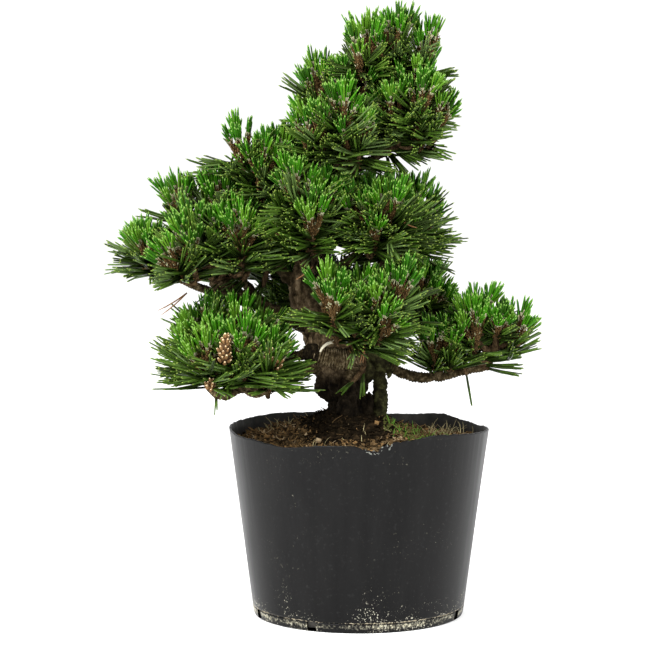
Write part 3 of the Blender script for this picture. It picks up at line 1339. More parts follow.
    def candle_wood(self, candles: Stalks, plan: HeadPlan, chance: np.random.Generator) -> list[Shell]:
        """Each candle's brown core, and the papery scales that stand round it."""
        share = np.linspace(-0.12, 1, 6)
        height = self.CANDLE_LENGTH * share * candles.sizes[:, None]
        line = candles.feet[:, None] + candles.axes[:, None] * height[..., None]
        radii = self.CANDLE_RADIUS * np.array((0.9, 1.1, 1.1, 1.0, 0.8, 0.35)) * candles.sizes[:, None] ** 0.5
        cores = tubes(line, radii, 6, 1)
        roots, headings, _, _ = self.pairs(
            candles, plan.scales // 2, -0.001, self.CANDLE_LENGTH * 0.85, (26, 9), chance,
            self.CANDLE_RADIUS * 0.85, 40.0,
        )
        lengths = chance.uniform(0.0016, 0.0030, len(roots))
        marks = np.where(chance.random(len(roots)) < self.PAPERY_SCALES, 3, 2)
        return [cores, self.scale_shell(roots, headings, lengths, 0.0006, marks)]

    def neck_wood(self, heads: Stalks, plan: HeadPlan, chance: np.random.Generator) -> list[Shell]:
        """The rough neck under each head, with the stubs of shed scales round it."""
        share = np.linspace(-1, 0.25, 7)
        height = plan.neck * share * heads.sizes[:, None]
        line = heads.feet[:, None] + heads.axes[:, None] * height[..., None]
        radii = self.NECK_RADIUS * np.array((0.7, 0.85, 1.0, 1.0, 1.05, 0.9, 0.5)) * heads.sizes[:, None]
        necks = tubes(line, radii, 8, 0)
        roots, headings, _, _ = self.pairs(
            heads, 16, -plan.neck, 0.001, (62, 35), chance, self.NECK_RADIUS * 0.9, 40.0
        )
        lengths = chance.uniform(0.0014, 0.0030, len(roots))
        return [necks, self.scale_shell(roots, headings, lengths, 0.0007, np.full(len(roots), 2))]

    def scale_shell(
        self, roots: np.ndarray, headings: np.ndarray, lengths: np.ndarray, radius: float, marks: np.ndarray
    ) -> Shell:
        """Scales: a three-cornered foot drawn out to a tip.

        Args:
            roots: (n, 3) places.
            headings: (n, 3) unit vectors.
            lengths: (n,) lengths.
            radius: of the foot.
            marks: (n,) finish numbers.

        Returns:
            The closed scales.
        """
        first, second = across(headings)
        angles = np.arange(3) * math.tau / 3
        around = first[:, None] * np.cos(angles)[:, None] + second[:, None] * np.sin(angles)[:, None]
        tips = roots + headings * lengths[:, None]
        places = np.concatenate([roots[:, None] + around * radius, tips[:, None]], axis=1)
        faces = np.array(((2, 1, 0), (0, 1, 3), (1, 2, 3), (2, 0, 3)))
        each = np.arange(len(roots))[:, None, None] * 4
        return Shell(places, (faces[None] + each).reshape(-1, 3), np.repeat(marks, 4))

    def twigs(self, lines: list[np.ndarray]) -> list[Shell]:
        """Tubes along the twigs' lines, thinner toward their ends, with small knobs."""
        shells = []
        for line, start, end, sides in zip(lines, (0.0026, 0.0016), (0.0019, 0.0013), (9, 7)):
            share = np.linspace(0, 1, line.shape[1])
            radii = np.broadcast_to(start + (end - start) * share, line.shape[:2])
            fine = np.repeat(radii[:, :, None], sides, axis=2).copy()
            walls = tubes(line, fine, sides)
            count, rings = line.shape[:2]
            around = walls.vertices.reshape(count, -1, 3)[:, :-2].reshape(count, rings, sides, 3)
            fine += lattice_noise(around, 0.002, 61) * 0.0005
            shells.append(tubes(line, fine, sides))
        return shells

    def build(self) -> None:
        """Show each region's young needles, old needles and twigs."""
        trunk = self.skeleton.limbs["trunk"]
        for region, masses in MASSES.items():
            young: list[Shell] = []
            old: list[Shell] = []
            wood: list[Shell] = []
            for mass in masses:
                chance = np.random.default_rng(zlib.crc32(mass.name.encode()))
                main, side, owner = self.rule.heads(mass, trunk, chance)
                wood += self.twigs(self.twig_lines(mass, main, side, owner))
                plans = ((main, self.MAIN), (side, self.SIDE))
                for heads, whole in plans[: 1 + bool(len(owner))]:
                    plan = replace(whole, neck=whole.neck * mass.neck)
                    wood += self.neck_wood(heads, plan, chance)
                    candles = self.candles(heads, plan, chance)
                    young.append(self.young(candles, plan, mass.bare, chance))
                    old.append(self.old(heads, plan, mass, chance))
                    wood += self.candle_wood(candles, plan, chance)
            if region in REACHES:
                chance = np.random.default_rng(zlib.crc32(region.value.encode()))
                needles, stems = self.reaching(REACHES[region], chance)
                old.append(needles)
                wood += stems
            nodes = tuple(mass.name for mass in masses)
            show(f"young_needles_{region.value}", Shell.joined(young), self.materials, nodes)
            show(f"old_needles_{region.value}", Shell.joined(old), self.materials, nodes)
            show(f"twigs_{region.value}", Shell.joined(wood), self.twig_materials, nodes)


@dataclass(frozen=True)
class PollenCones:
    """Clusters of small pollen cones on a short axis, and a few shed needles caught in the crown."""

    cone_length: float = 0.0036
    cone_radius: float = 0.00115

    # foot and top in millimetres, radius at the middle in millimetres, and how many cones
    CLUSTERS = (
        ((-85.5, -65.5, 172.5), (-85.0, -67.0, 190.0), 3.1, 36),
        ((-95.3, -60.0, 154.5), (-95.0, -61.0, 161.0), 1.7, 14),
        ((-58.4, -58.0, 173.0), (-57.6, -59.0, 180.5), 1.6, 13),
        ((-52.5, -56.0, 168.0), (-51.0, -57.0, 173.0), 1.3, 8),
    )
    STEM_DROP = (0.0, 14.0, 4.0)  # from a cluster's foot to its stem's, in millimetres

    # root and tip of each shed needle, in millimetres
    SHED = (
        ((-112, -18, 214), (-128.5, -24, 200.0)), ((-112, -18, 214), (-130.5, -24, 203.0)),
        ((-46, -26, 259), (-61.4, -34, 248.5)), ((-47, -26, 258), (-60.0, -35, 246.5)),
        ((3.6, -46, 186), (0.2, -47, 171.0)), ((3.8, -46, 186), (2.0, -48, 171.5)),
        ((-30, -30, 232), (-41, -36, 224)), ((26, -26, 262), (37, -32, 257)),
    )

    def cluster(self, foot: np.ndarray, top: np.ndarray, radius: float, count: int) -> Shell:
        """One cluster: cones on an uneven golden-angle spiral round its axis, leaning up and out.

        Args:
            foot: place of the axis's foot.
            top: place of the axis's top.
            radius: of the axis at its middle, in metres.
            count: how many cones.

        Returns:
            The axis with finish 0, the cones with finish 1 and their tips with finish 2.
        """
        chance = np.random.default_rng(count)
        axis = unit(top - foot)
        share = (np.arange(count) + 0.5) / count
        first, second = across(axis[None])
        turns = np.arange(count)[:, None] * GOLDEN_ANGLE + chance.normal(0, 0.16, (count, 1))
        out = first * np.cos(turns) + second * np.sin(turns)
        swell = np.sin(math.pi * (0.16 + 0.76 * share)) * (1.12 - 0.45 * share) * radius
        swell = swell * chance.uniform(0.80, 1.12, count)
        roots = foot + (top - foot) * share[:, None] + out * swell[:, None] + chance.normal(0, 0.0003, (count, 3))
        heading = unit(axis + out * (0.9 - 0.5 * share)[:, None] + chance.normal(0, 0.14, (count, 3)))
        sizes = chance.uniform(0.72, 1.08, count)[:, None]
        along = np.array((0.0, 0.15, 0.5, 0.8, 1.0)) * self.cone_length * sizes
        thick = np.array((0.5, 0.9, 1.0, 0.75, 0.3)) * self.cone_radius * sizes
        line = roots[:, None] + heading[:, None] * along[..., None]
        cones = tubes(line, thick, 6, 1)
        tips = tubes(line[:, 3:] + heading[:, None] * 0.0002, thick[:, 3:] * 0.9, 6, 2)
        stalk = np.linspace(0, 1, 5)[:, None]
        stem = foot + mm(*self.STEM_DROP)
        course = np.concatenate([stem * (1 - stalk[:-1]) + foot * stalk[:-1], foot * (1 - stalk) + top * stalk])
        radii = np.r_[np.full(4, 0.0015), np.array((0.4, 0.8, 0.9, 0.8, 0.2)) * radius]
        return Shell.joined([tubes(course[None], radii[None], 7, 0), cones, tips])

    def build(self) -> None:
        """Show the clusters and the shed needles."""
        shells = [
            self.cluster(mm(*foot), mm(*top), radius * MM, count) for foot, top, radius, count in self.CLUSTERS
        ]
        finishes = [
            PlainFinish("cone_axis", (0.070, 0.038, 0.018), 0.85, 0.1).material(),
            PlainFinish("pollen_cone", (0.155, 0.084, 0.033), 0.7, 0.1).material(),
            PlainFinish("pollen_cone_tip", (0.560, 0.420, 0.245), 0.7, 0.1).material(),
        ]
        show("pollen_cones", Shell.joined(shells), finishes)
        ends = np.array(self.SHED) * MM
        share = np.linspace(0, 1, 5)[None, :, None]
        line = ends[:, :1] * (1 - share) + ends[:, 1:] * share - UP * 0.0008 * np.sin(math.pi * share)
        radii = np.broadcast_to(np.array((0.5, 0.5, 0.45, 0.4, 0.15)) * MM, line.shape[:2])
        dry = PlainFinish("dry_needle", (0.21, 0.105, 0.045), 0.6, 0.1).material()
        show("shed_needles", tubes(line, radii, 5), [dry])


@dataclass(frozen=True)
class Pot:
    """The cut-down nursery pot: thin wall, flat floor, groove and drain notches at the foot."""

    height: float = 0.1230
    rim_radius: float = 0.0855
    foot_radius: float = 0.0695
    wall: float = 0.0014
    floor: float = 0.0022
    foot_ring: float = 0.0058
    groove: float = 0.0008
    groove_depth: float = 0.0007
    notch_width: float = 0.0058
    notch_height: float = 0.0061
    notch_sill: float = 0.0005
    notch_depth: float = 0.0120
    steps: int = 900

    NOTCHES = (-162, -116, -69, -26.3, 65.3, 108, 153)  # degrees from the front

    # how far the rim stands over its level in millimetres, at degrees from the front
    RIM = (
        (-180, -0.4), (-162, 0.2), (-148, 0.9), (-140, 1.1), (-120, 0.8), (-105, 0.7), (-90, 0.9), (-75, -0.3),
        (-60, -0.9), (-50, -1.2), (-35, -3.7), (-21, -1.3), (-12, -0.4), (-4, -0.3), (0, -1.4), (3, -3.8),
        (8, -3.2), (11, -1.0), (15, 1.2), (24, 3.0), (33, 4.6), (42, 4.0), (50, 3.0), (60, 2.2), (75, 0.9),
        (86, 0.2), (90, -1.0), (96, -0.6), (106, -1.7), (121, -0.8), (130, 0.2), (135, 1.8), (140, 1.1),
        (148, 0.0), (158, -1.0), (168, -1.0), (180, -0.4),
    )

    def outer_radius(self, height: np.ndarray) -> np.ndarray:
        """The outer radius at each height, which grows evenly from foot to rim."""
        return self.foot_radius + (self.rim_radius - self.foot_radius) * height / self.height

    def rim_lift(self, angles: np.ndarray) -> np.ndarray:
        """How far the hand-cut rim stands over or under the level, round the pot.

        Args:
            angles: turns from +X, in radians.

        Returns:
            The lift read from the table, with a torn stretch in front and a fine jagged edge,
            in metres.
        """
        front = (angles + math.pi / 2 + math.pi) % math.tau - math.pi
        turns, lifts = np.array(self.RIM).T
        cut = np.interp(np.degrees(front), turns, lifts) * MM
        ring = np.stack([np.cos(angles), np.sin(angles), np.zeros_like(angles)], -1) * self.rim_radius
        jagged = lattice_noise(ring, 0.004, 71) * 0.00035 + lattice_noise(ring, 0.0012, 72) * 0.00015
        tear = lattice_noise(ring, 0.0014, 73) * 0.0016 * np.exp(-(((front - 0.14) / 0.16) ** 2))
        return cut + jagged + tear

    def shell(self) -> Shell:
        """The pot's whole surface, turned from one closed profile.

        Rows run from the floor's middle up the inside, over the rim, down the outside and under
        the foot. The rim's lift fades with the square of the height, and the notches draw the
        foot's rows inward.
        """
        inside = np.linspace(self.floor, self.height, 24)
        edge = self.height - np.array((0, 0.0005, 0.0010, 0.0015, 0.0021, 0.0028))
        outside = np.concatenate([edge, np.linspace(self.height - 0.004, self.foot_ring + self.groove + 0.006, 38)])
        top = self.foot_ring + self.groove
        foot = np.array((top + 0.003, top + 0.0014, top, top - 0.0001, self.foot_ring, self.foot_ring - 0.0001,
                         self.foot_ring - 0.0002, 0.0024, 0.0006, 0.0004, 0.0))
        foot_in = np.array((0, 0, 0, 1, 1, 0, 0, 0.1, 0.4, 0.5, 1.4)) * self.groove_depth
        rim_in = np.array((0.5 * self.wall,))
        heights = np.concatenate([
            [self.floor, self.floor], inside, [self.height + 0.0003], outside, foot, [0.0]])
        radii = np.concatenate([
            [0.02, 0.06],
            self.outer_radius(inside) - self.wall,
            self.rim_radius - rim_in,
            self.outer_radius(outside),
            self.outer_radius(foot) - foot_in,
            [0.03],
        ])
        angles = np.arange(self.steps) * math.tau / self.steps
        share = (heights / self.height)[:, None]
        lifted = heights[:, None] + self.rim_lift(angles) * np.clip(share, 0, 1) ** 3
        oval = 1 + 0.006 * np.cos(2 * angles + 0.8) * share**2 + 0.003 * np.cos(5 * angles) * share**2
        reach = radii[:, None] * np.ones(self.steps)
        outer = radii > 0.0605
        reach = np.where(outer[:, None], reach * oval, reach)
        front = (angles + math.pi / 2 + math.pi) % math.tau - math.pi
        aside = np.abs(front[:, None] - np.radians(self.NOTCHES)).min(axis=1) * self.foot_radius
        low = (heights < self.notch_height) & (heights > self.notch_sill)
        notch = (aside < self.notch_width / 2)[None] & low[:, None]
        notch &= (np.arange(len(heights)) > 26)[:, None]
        reach = np.where(notch, np.minimum(reach, self.foot_radius - self.notch_depth), reach)
        places = np.stack([reach * np.cos(angles), reach * np.sin(angles), lifted], -1)
        rows = len(heights)
        ends = np.array(((0, 0, self.floor), (0, 0, 0.0)))
        faces = tube_faces(rows, self.steps)
        square = (faces[:, 2] != faces[:, 3])[:, None]
        faces = np.where(square, faces[:, ::-1], faces[:, (1, 0, 2, 3)])
        hollow = np.append(notch.ravel(), (False, False))[faces].any(axis=1)
        near = np.exp(-(((front - 0.13) / 0.16) ** 2))
        rag = lattice_noise(places * np.array((1, 1, 1.6)), 0.0011, 74) + 0.9 * near - 0.72
        rim = (np.arange(rows) >= 26) & (np.arange(rows) < 26 + len(edge))
        ragged = np.append(((rag > 0) & rim[:, None]).ravel(), (False, False))[faces].all(axis=1)
        within = np.append(np.repeat(np.arange(rows) < 26, self.steps), (True, False))[faces].all(axis=1)
        return Shell(np.concatenate([places.reshape(-1, 3), ends]), faces, hollow + 2 * ragged + 3 * within)

    def material(self) -> bpy.types.Material:
        """Black plastic with faint streaks, dusty patches, and specks of lime near the foot."""
        material = bpy.data.materials.new("scuffed_black_plastic")
        material.use_nodes = True
        tree = material.node_tree
        shader = tree.nodes["Principled BSDF"]
        place = tree.nodes.new("ShaderNodeTexCoord")
        split = tree.nodes.new("ShaderNodeSeparateXYZ")
        tree.links.new(place.outputs["Object"], split.inputs["Vector"])
        streak_map = tree.nodes.new("ShaderNodeMapping")
        streak_map.inputs["Scale"].default_value = (1.0, 1.0, 0.08)
        tree.links.new(place.outputs["Object"], streak_map.inputs["Vector"])
        streaks = self.noise(tree, streak_map.outputs["Vector"], 90.0, 5.0)
        colour = self.ramp(tree, streaks, 0.35, 0.75, (0.0020, 0.0020, 0.0020), (0.0046, 0.0046, 0.0045))
        scuffs = self.noise(tree, place.outputs["Object"], 420.0, 8.0)
        scuffed = self.ramp(tree, scuffs, 0.58, 0.72, (0, 0, 0), (0.12, 0.12, 0.12))
        colour = self.mixed(tree, scuffed, colour, (0.060, 0.060, 0.058))
        patches = self.mapped(tree, self.noise(tree, place.outputs["Object"], 34.0, 3.0), 0.35, 0.65, -0.09, 0.09)
        grime = self.total(tree, self.noise(tree, place.outputs["Object"], 620.0, 6.0), patches)
        band = self.mapped(tree, self.distance(tree, place, (0, 0, 0.0040), (0, 0, 1)), 0.0008, 0.0030, 0.06, -0.22)
        crust = self.ramp(tree, self.total(tree, grime, band), 0.49, 0.62, (0, 0, 0), (0.85, 0.85, 0.85))
        colour = self.mixed(tree, crust, colour, (0.130, 0.122, 0.090))
        chips = self.ramp(tree, self.total(tree, grime, band), 0.64, 0.70, (0, 0, 0), (1, 1, 1))
        colour = self.mixed(tree, chips, colour, (0.420, 0.390, 0.280))
        groove = self.mapped(tree, self.distance(tree, place, (0, 0, 0.0065), (0, 0, 1)), 0.0002, 0.0012, 0.10, -0.30)
        lime = self.ramp(tree, self.total(tree, grime, groove), 0.56, 0.66, (0, 0, 0), (1, 1, 1))
        colour = self.mixed(tree, lime, colour, (0.400, 0.345, 0.240))
        specks = self.total(tree, self.noise(tree, place.outputs["Object"], 760.0, 7.0), patches)
        low = self.mapped(tree, split.outputs["Z"], 0.002, 0.036, 0.065, -0.120)
        speckled = self.ramp(tree, self.total(tree, specks, low), 0.660, 0.700, (0, 0, 0), (1, 1, 1))
        colour = self.mixed(tree, speckled, colour, (0.330, 0.315, 0.250))
        smear = self.distance(tree, place, (0.036, 0.0760, 0.1180), (0.8, 0.5, 1.0))
        near = self.mapped(tree, smear, 0.0, 0.0150, 0.55, -0.45)
        dusty = self.ramp(tree, self.total(tree, scuffs, near), 0.30, 1.05, (0, 0, 0), (0.9, 0.9, 0.9))
        colour = self.mixed(tree, dusty, colour, (0.36, 0.38, 0.41))
        tree.links.new(colour, shader.inputs["Base Color"])
        gloss = self.ramp(tree, streaks, 0.3, 0.8, (0.30, 0.30, 0.30), (0.44, 0.44, 0.44))
        tree.links.new(gloss, shader.inputs["Roughness"])
        shader.inputs["Specular IOR Level"].default_value = 0.098
        return material

    @staticmethod
    def mapped(tree: bpy.types.NodeTree, source: bpy.types.NodeSocket, low: float, high: float,
               below: float, above: float) -> bpy.types.NodeSocket:
        """A value that goes from one number to another between two limits of the source."""
        node = tree.nodes.new("ShaderNodeMapRange")
        node.inputs["From Min"].default_value = low
        node.inputs["From Max"].default_value = high
        node.inputs["To Min"].default_value = below
        node.inputs["To Max"].default_value = above
        tree.links.new(source, node.inputs["Value"])
        return node.outputs["Result"]

    @staticmethod
    def total(tree: bpy.types.NodeTree, first: bpy.types.NodeSocket, second: bpy.types.NodeSocket):
        """The sum of two values."""
        node = tree.nodes.new("ShaderNodeMath")
        node.operation = "ADD"
        tree.links.new(first, node.inputs[0])
        tree.links.new(second, node.inputs[1])
        return node.outputs["Value"]

    @staticmethod
    def distance(tree: bpy.types.NodeTree, place: bpy.types.Node, centre: tuple[float, float, float],
                 weights: tuple[float, float, float]) -> bpy.types.NodeSocket:
        """How far a place stands from a centre, each direction counted with its weight."""
        offset = tree.nodes.new("ShaderNodeVectorMath")
        offset.operation = "SUBTRACT"
        tree.links.new(place.outputs["Object"], offset.inputs[0])
        offset.inputs[1].default_value = centre
        scaled = tree.nodes.new("ShaderNodeVectorMath")
        scaled.operation = "MULTIPLY"
        tree.links.new(offset.outputs["Vector"], scaled.inputs[0])
        scaled.inputs[1].default_value = weights
        length = tree.nodes.new("ShaderNodeVectorMath")
        length.operation = "LENGTH"
        tree.links.new(scaled.outputs["Vector"], length.inputs[0])
        return length.outputs["Value"]

    @staticmethod
    def mixed(tree: bpy.types.NodeTree, share: bpy.types.NodeSocket, under: bpy.types.NodeSocket,
              over: tuple[float, float, float]) -> bpy.types.NodeSocket:
        """A colour laid over another by a share."""
        node = tree.nodes.new("ShaderNodeMix")
        node.data_type = "RGBA"
        tree.links.new(share, node.inputs["Factor"])
        tree.links.new(under, node.inputs["A"])
        node.inputs["B"].default_value = (*over, 1.0)
        return node.outputs["Result"]

    @staticmethod
    def noise(tree: bpy.types.NodeTree, source: bpy.types.NodeSocket, scale: float, detail: float):
        """A noise texture's value at this scale."""
        node = tree.nodes.new("ShaderNodeTexNoise")
        node.inputs["Scale"].default_value = scale
        node.inputs["Detail"].default_value = detail
        node.inputs["Roughness"].default_value = 0.6
        tree.links.new(source, node.inputs["Vector"])
        return node.outputs["Fac"]

    @staticmethod
    def ramp(tree: bpy.types.NodeTree, source: bpy.types.NodeSocket, low: float, high: float,
             dark: tuple[float, float, float], light: tuple[float, float, float]):
        """A colour that goes from dark to light between two values."""
        node = tree.nodes.new("ShaderNodeValToRGB")
        node.color_ramp.elements[0].position = low
        node.color_ramp.elements[0].color = (*dark, 1.0)
        node.color_ramp.elements[1].position = high
        node.color_ramp.elements[1].color = (*light, 1.0)
        tree.links.new(source, node.inputs["Fac"])
        return node.outputs["Color"]

    def build(self) -> None:
        """Show the pot."""
        hollow = PlainFinish("notch_hollow", (0.0008, 0.0008, 0.0008), 0.9, 0.0).material()
        torn = PlainFinish("torn_edge", (0.115, 0.120, 0.105), 0.7, 0.1).material()
        dusty = MottledFinish(
            "dusty_inner_wall", (0.0230, 0.0225, 0.0210), (0.0330, 0.0315, 0.0285), (0.0480, 0.0450, 0.0400),
            patch=0.010, grain=0.001, depth=0.0001, roughness=0.5,
        ).material()
        show("cut_pot", self.shell(), [self.material(), hollow, torn, dusty], ("pot",))


@dataclass(frozen=True)
class Soil:
    """The soil: a crumbly surface with fibres, mounded under the trunk."""

    edge_height: float = 0.1130
    mound_radius: float = 0.0300
    mound_foot: float = 0.0560
    mound_foot_height: float = 0.1160
    ground: float = 0.1240
    radius: float = 0.0825
    rings: int = 150
    steps: int = 260
    crumbs: int = 6500
    fibres: int = 2600

    # x, y, radius and height of the mounds, in millimetres
    MOUNDS = ((-44, 22, 26, 5.5), (-58, -10, 18, 1.5), (40, 28, 30, -3.0), (-5, -10, 24, 7.5), (14, -8, 12, 3.0), (-19, -3, 8, 4.0))

    def surface(self, x: np.ndarray, y: np.ndarray) -> np.ndarray:
        """Height of the soil: a level mound that slopes to the wall, with lumps and crumbs."""
        reach = np.hypot(x, y)
        level = np.interp(
            reach,
            (0, self.mound_radius, self.mound_foot, self.radius),
            (self.ground, self.ground, self.mound_foot_height, self.edge_height),
        )
        places = np.stack([x, y, np.zeros_like(x)], -1)
        lumps = lattice_noise(places, 0.018, 81) * 0.0022 + lattice_noise(places, 0.006, 82) * 0.0014
        fine = lattice_noise(places, 0.0022, 83) * 0.0008 + lattice_noise(places, 0.0010, 84) * 0.0003
        for across_x, across_y, radius, height in self.MOUNDS:
            away = np.hypot(x - across_x * MM, y - across_y * MM) / (radius * MM)
            lumps = lumps + height * MM * np.exp(-(away**2))
        return level + (lumps + fine) * np.clip((self.radius + 0.003 - reach) / 0.006, 0.25, 1)

    def shell(self) -> Shell:
        """A closed disc: the surface on a polar grid, a skirt down the wall and a flat floor."""
        angles = np.arange(self.steps) * math.tau / self.steps
        reach = self.radius * np.linspace(1, 0.004, self.rings)[:, None]
        x = reach * np.cos(angles)
        y = reach * np.sin(angles)
        top = np.stack([x, y, self.surface(x, y)], -1)
        low = np.array((0.0700, 0.0780))[:, None]
        skirt_x = low * np.cos(angles)
        skirt_y = low * np.sin(angles)
        skirt = np.stack([skirt_x, skirt_y, np.broadcast_to(((0.030,), (0.095,)), skirt_x.shape)], -1)
        grid = np.concatenate([skirt, top])
        ends = np.array(((0, 0, 0.030), (0, 0, self.ground)))
        faces = tube_faces(len(grid), self.steps)
        wet = self.wet(grid[..., 0], grid[..., 1]) > 0
        wet = np.append(wet.ravel(), (False, True))[faces].all(axis=1)
        return Shell(np.concatenate([grid.reshape(-1, 3), ends]), faces, wet.astype(int))

    def scattered(self, count: int, chance: np.random.Generator) -> np.ndarray:
        """Places on the surface, evenly dealt over the disc."""
        reach = self.radius * 0.985 * np.sqrt(chance.random(count))
        angle = chance.uniform(0, math.tau, count)
        x = reach * np.cos(angle)
        y = reach * np.sin(angle)
        return np.stack([x, y, self.surface(x, y)], -1)

    def crumb_shell(self, chance: np.random.Generator) -> Shell:
        """Crumbs: eight-sided lumps, each stretched and turned its own way."""
        corners = np.array(((1, 0, 0), (0, 1, 0), (-1, 0, 0), (0, -1, 0), (0, 0, 1), (0, 0, -1)), float)
        faces = np.array(((0, 1, 4), (1, 2, 4), (2, 3, 4), (3, 0, 4), (1, 0, 5), (2, 1, 5), (3, 2, 5), (0, 3, 5)))
        places = self.scattered(self.crumbs, chance)
        size = 0.0004 + 0.0013 * chance.random(self.crumbs) ** 4
        stretch = chance.uniform(0.5, 1.7, (self.crumbs, 1, 3))
        first = unit(chance.normal(size=(self.crumbs, 3)))
        second, third = across(first)
        turned = corners * stretch * chance.uniform(0.75, 1.25, (self.crumbs, 6, 1))
        axes = np.stack([first, second, third], 1)
        lumps = np.einsum("ncx,nxk->nck", turned, axes) * size[:, None, None]
        each = np.arange(self.crumbs)[:, None, None] * 6
        marks = np.repeat(self.tone(places, chance, (0.36, 0.40, 0.20, 0.04)), 8)
        return Shell(lumps + (places + UP * 0.0003)[:, None], (faces[None] + each).reshape(-1, 3), marks)

    def fibre_shell(self, chance: np.random.Generator) -> Shell:
        """Fibres: thin bent tubes that lie on the surface, some with an end lifted."""
        places = self.scattered(self.fibres, chance)
        angle = chance.uniform(0, math.tau, self.fibres)
        lift = np.abs(chance.normal(0, 0.25, self.fibres))
        heading = unit(np.stack([np.cos(angle), np.sin(angle), lift], -1))
        bend = chance.normal(0, 0.0022, (self.fibres, 3))
        length = chance.uniform(0.003, 0.011, self.fibres)
        share = np.linspace(-0.5, 0.5, 5)
        line = places[:, None] + heading[:, None] * (length[:, None] * share)[..., None]
        line = line + bend[:, None] * (share**2 * 2)[:, None] + UP * 0.0005
        inside = np.hypot(line[..., 0], line[..., 1]).max(axis=1) < self.radius
        line = line[inside]
        radii = np.broadcast_to(chance.uniform(0.00012, 0.00030, len(line))[:, None], line.shape[:2])
        return tubes(line, radii, 4, self.tone(line[:, 2], chance, (0.28, 0.42, 0.25, 0.05)))

    def tone(self, places: np.ndarray, chance: np.random.Generator, shares: tuple[float, ...]) -> np.ndarray:
        """A tone for each place: dealt by these shares, but mostly the damp one near the trunk."""
        dealt = chance.choice(4, len(places), p=shares)
        near = self.wet(places[:, 0], places[:, 1]) > chance.uniform(-0.1, 0.25, len(places))
        return np.where(near & (chance.random(len(places)) < 0.93), 4, dealt)

    def wet(self, x: np.ndarray, y: np.ndarray) -> np.ndarray:
        """How far inside the dark patch round the trunk's foot a place lies: 1 at its middle, 0 at its edge."""
        places = np.stack([x, y, np.zeros_like(x)], -1)
        return 1 - np.hypot((x + 0.005) / 0.033, (y + 0.010) / 0.040) + lattice_noise(places, 0.006, 85) * 0.12

    def blades(
        self, count: int, low: tuple[float, float], high: tuple[float, float], tall: tuple[float, float],
        radius: float, chance: np.random.Generator,
    ) -> Shell:
        """Thin stems that stand in a patch of the soil, each leaning its own way.

        Args:
            count: how many.
            low: least x and y, in millimetres.
            high: greatest x and y, in millimetres.
            tall: least and greatest length, in millimetres.
            radius: of a stem's foot, in metres.
            chance: random numbers.

        Returns:
            The stems.
        """
        x = chance.uniform(low[0], high[0], count) * MM
        y = chance.uniform(low[1], high[1], count) * MM
        inside = np.hypot(x, y) < self.radius - 0.005
        x, y = x[inside], y[inside]
        count = len(x)
        foot = np.stack([x, y, self.surface(x, y)], -1)
        lean = chance.normal(0, 0.45, (count, 2))
        heading = unit(np.concatenate([lean, np.ones((count, 1))], axis=1))
        length = chance.uniform(*tall, count) * MM
        share = np.linspace(0, 1, 5)
        bend = np.concatenate([chance.normal(0, 0.3, (count, 2)), -np.full((count, 1), 0.12)], axis=1)
        line = foot[:, None] + heading[:, None] * (length[:, None] * share)[..., None]
        line = line + bend[:, None] * (length[:, None] * share**2)[..., None]
        radii = np.broadcast_to(radius * np.array((1, 1, 0.85, 0.6, 0.2)), line.shape[:2])
        return tubes(line, radii, 4)

    def build(self) -> None:
        """Show the soil, its crumbs and its fibres."""
        chance = np.random.default_rng(91)
        ground = MottledFinish(
            "bark_and_peat", (0.012, 0.0082, 0.0036), (0.045, 0.030, 0.014), (0.115, 0.077, 0.038),
            patch=0.004, grain=0.0008, depth=0.0008, roughness=0.95,
        ).material()
        wet = MottledFinish(
            "damp_peat", (0.0030, 0.0022, 0.0010), (0.0090, 0.0060, 0.0028), (0.030, 0.019, 0.009),
            patch=0.004, grain=0.0008, depth=0.0008, roughness=0.95,
        ).material()
        show("soil_surface", self.shell(), [ground, wet], ("soil",))
        tones = [
            PlainFinish("crumb_dark", (0.014, 0.0086, 0.0036), 0.95, 0.05).material(),
            PlainFinish("crumb_brown", (0.080, 0.050, 0.022), 0.95, 0.05).material(),
            PlainFinish("crumb_bark", (0.170, 0.100, 0.040), 0.9, 0.05).material(),
            PlainFinish("crumb_pale", (0.290, 0.215, 0.125), 0.9, 0.05).material(),
            PlainFinish("crumb_damp", (0.0055, 0.0038, 0.0018), 0.95, 0.04).material(),
        ]
        show("soil_crumbs", self.crumb_shell(chance), tones, smooth=False)
        show("soil_fibres", self.fibre_shell(chance), tones)
        green = PlainFinish("seedling_green", (0.085, 0.190, 0.020), 0.6, 0.1).material()
        seedlings = Shell.joined([
            self.blades(34, (20, -36), (48, 8), (3, 9), 0.00032, chance),
            self.blades(16, (44, -30), (64, 16), (3, 8), 0.00030, chance),
        ])
        show("seedlings", seedlings, [green])
        straw = PlainFinish("dry_straw", (0.340, 0.290, 0.150), 0.8, 0.1).material()
        wisps = Shell.joined([
            self.blades(46, (46, 0), (76, 48), (5, 14), 0.00019, chance),
            self.blades(12, (-50, -52), (30, -30), (3, 8), 0.00018, chance),
            self.blades(18, (-66, 4), (-30, 44), (4, 9), 0.00020, chance),
        ])
        show("dry_wisps", wisps, [straw])
        olive = PlainFinish("moss_olive", (0.075, 0.085, 0.022), 0.95, 0.05).material()
        moss = Shell.joined([
            self.blades(900, (16, -30), (40, 14), (0.8, 2.2), 0.00045, chance),
            self.blades(500, (34, -46), (62, 10), (0.8, 2.0), 0.00045, chance),
        ])
        show("moss", moss, [olive])


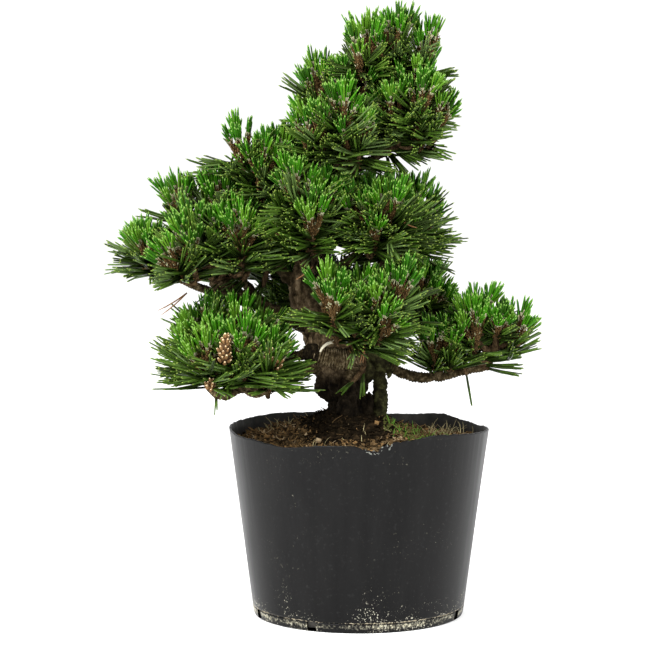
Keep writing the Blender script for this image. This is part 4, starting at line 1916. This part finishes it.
@dataclass(frozen=True)
class Studio:
    """The floor, the soft lights and the camera at the photograph's angle."""

    camera_place: tuple[float, float, float] = (-0.0222, -1.60, 0.34)
    camera_pitch: float = 5.31
    lens: float = 135.08
    sensor: float = 36.0

    def light(
        self, name: str, place: tuple[float, float, float], width: float, height: float, power: float
    ) -> None:
        """An area light that looks at the tree's middle."""
        data = bpy.data.lights.new(name, "AREA")
        data.shape = "RECTANGLE"
        data.size = width
        data.size_y = height
        data.energy = power
        lamp = bpy.data.objects.new(name, data)
        lamp.location = place
        lamp.rotation_euler = (Vector((-0.02, 0, 0.2)) - Vector(place)).to_track_quat("-Z", "Y").to_euler()
        bpy.context.scene.collection.objects.link(lamp)

    def build(self) -> None:
        """Make the floor, the world, the lights and the camera."""
        floor_mesh = bpy.data.meshes.new("floor")
        corners = [(x, y, -0.0002) for x, y in ((-60, -60), (60, -60), (60, 60), (-60, 60))]
        floor_mesh.from_pydata(corners, [], [(0, 1, 2, 3)])
        floor_mesh.materials.append(PlainFinish("pale_floor", (0.93, 0.93, 0.93), 0.7, 0.2).material())
        floor = bpy.data.objects.new("floor", floor_mesh)
        bpy.context.scene.collection.objects.link(floor)
        world = bpy.data.worlds.new("white_studio")
        bpy.context.scene.world = world
        world.use_nodes = True
        world.node_tree.nodes["Background"].inputs["Color"].default_value = (1.0, 1.0, 1.0, 1.0)
        world.node_tree.nodes["Background"].inputs["Strength"].default_value = 1.12
        bpy.context.scene.view_settings.view_transform = "Standard"
        self.light("key_light", (-0.9, -1.1, 1.6), 0.7, 0.7, 64)
        self.light("fill_light", (1.3, -0.7, 1.0), 0.6, 0.6, 26)
        self.light("strip_light", (-1.35, -0.66, 0.25), 0.10, 1.0, 16)
        data = bpy.data.cameras.new("camera")
        data.lens = self.lens
        data.sensor_width = self.sensor
        camera = bpy.data.objects.new("camera", data)
        camera.location = self.camera_place
        camera.rotation_euler = (math.radians(90 - self.camera_pitch), 0, 0)
        bpy.context.scene.collection.objects.link(camera)
        bpy.context.scene.camera = camera


def write_sizes() -> None:
    """Write the CAD box and the visual model's box as plain lists."""
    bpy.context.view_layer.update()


def main() -> None:
    """Build the studio, the pot, the soil, the bark and the foliage."""
    logging.basicConfig(level=logging.INFO)
    Studio().build()
    Pot().build()
    Soil().build()
    skeleton = Skeleton()
    Bark(skeleton).build()
    Foliage(skeleton, GrowthRule()).build()
    PollenCones().build()
    write_sizes()


if __name__ == "__main__":
    main()
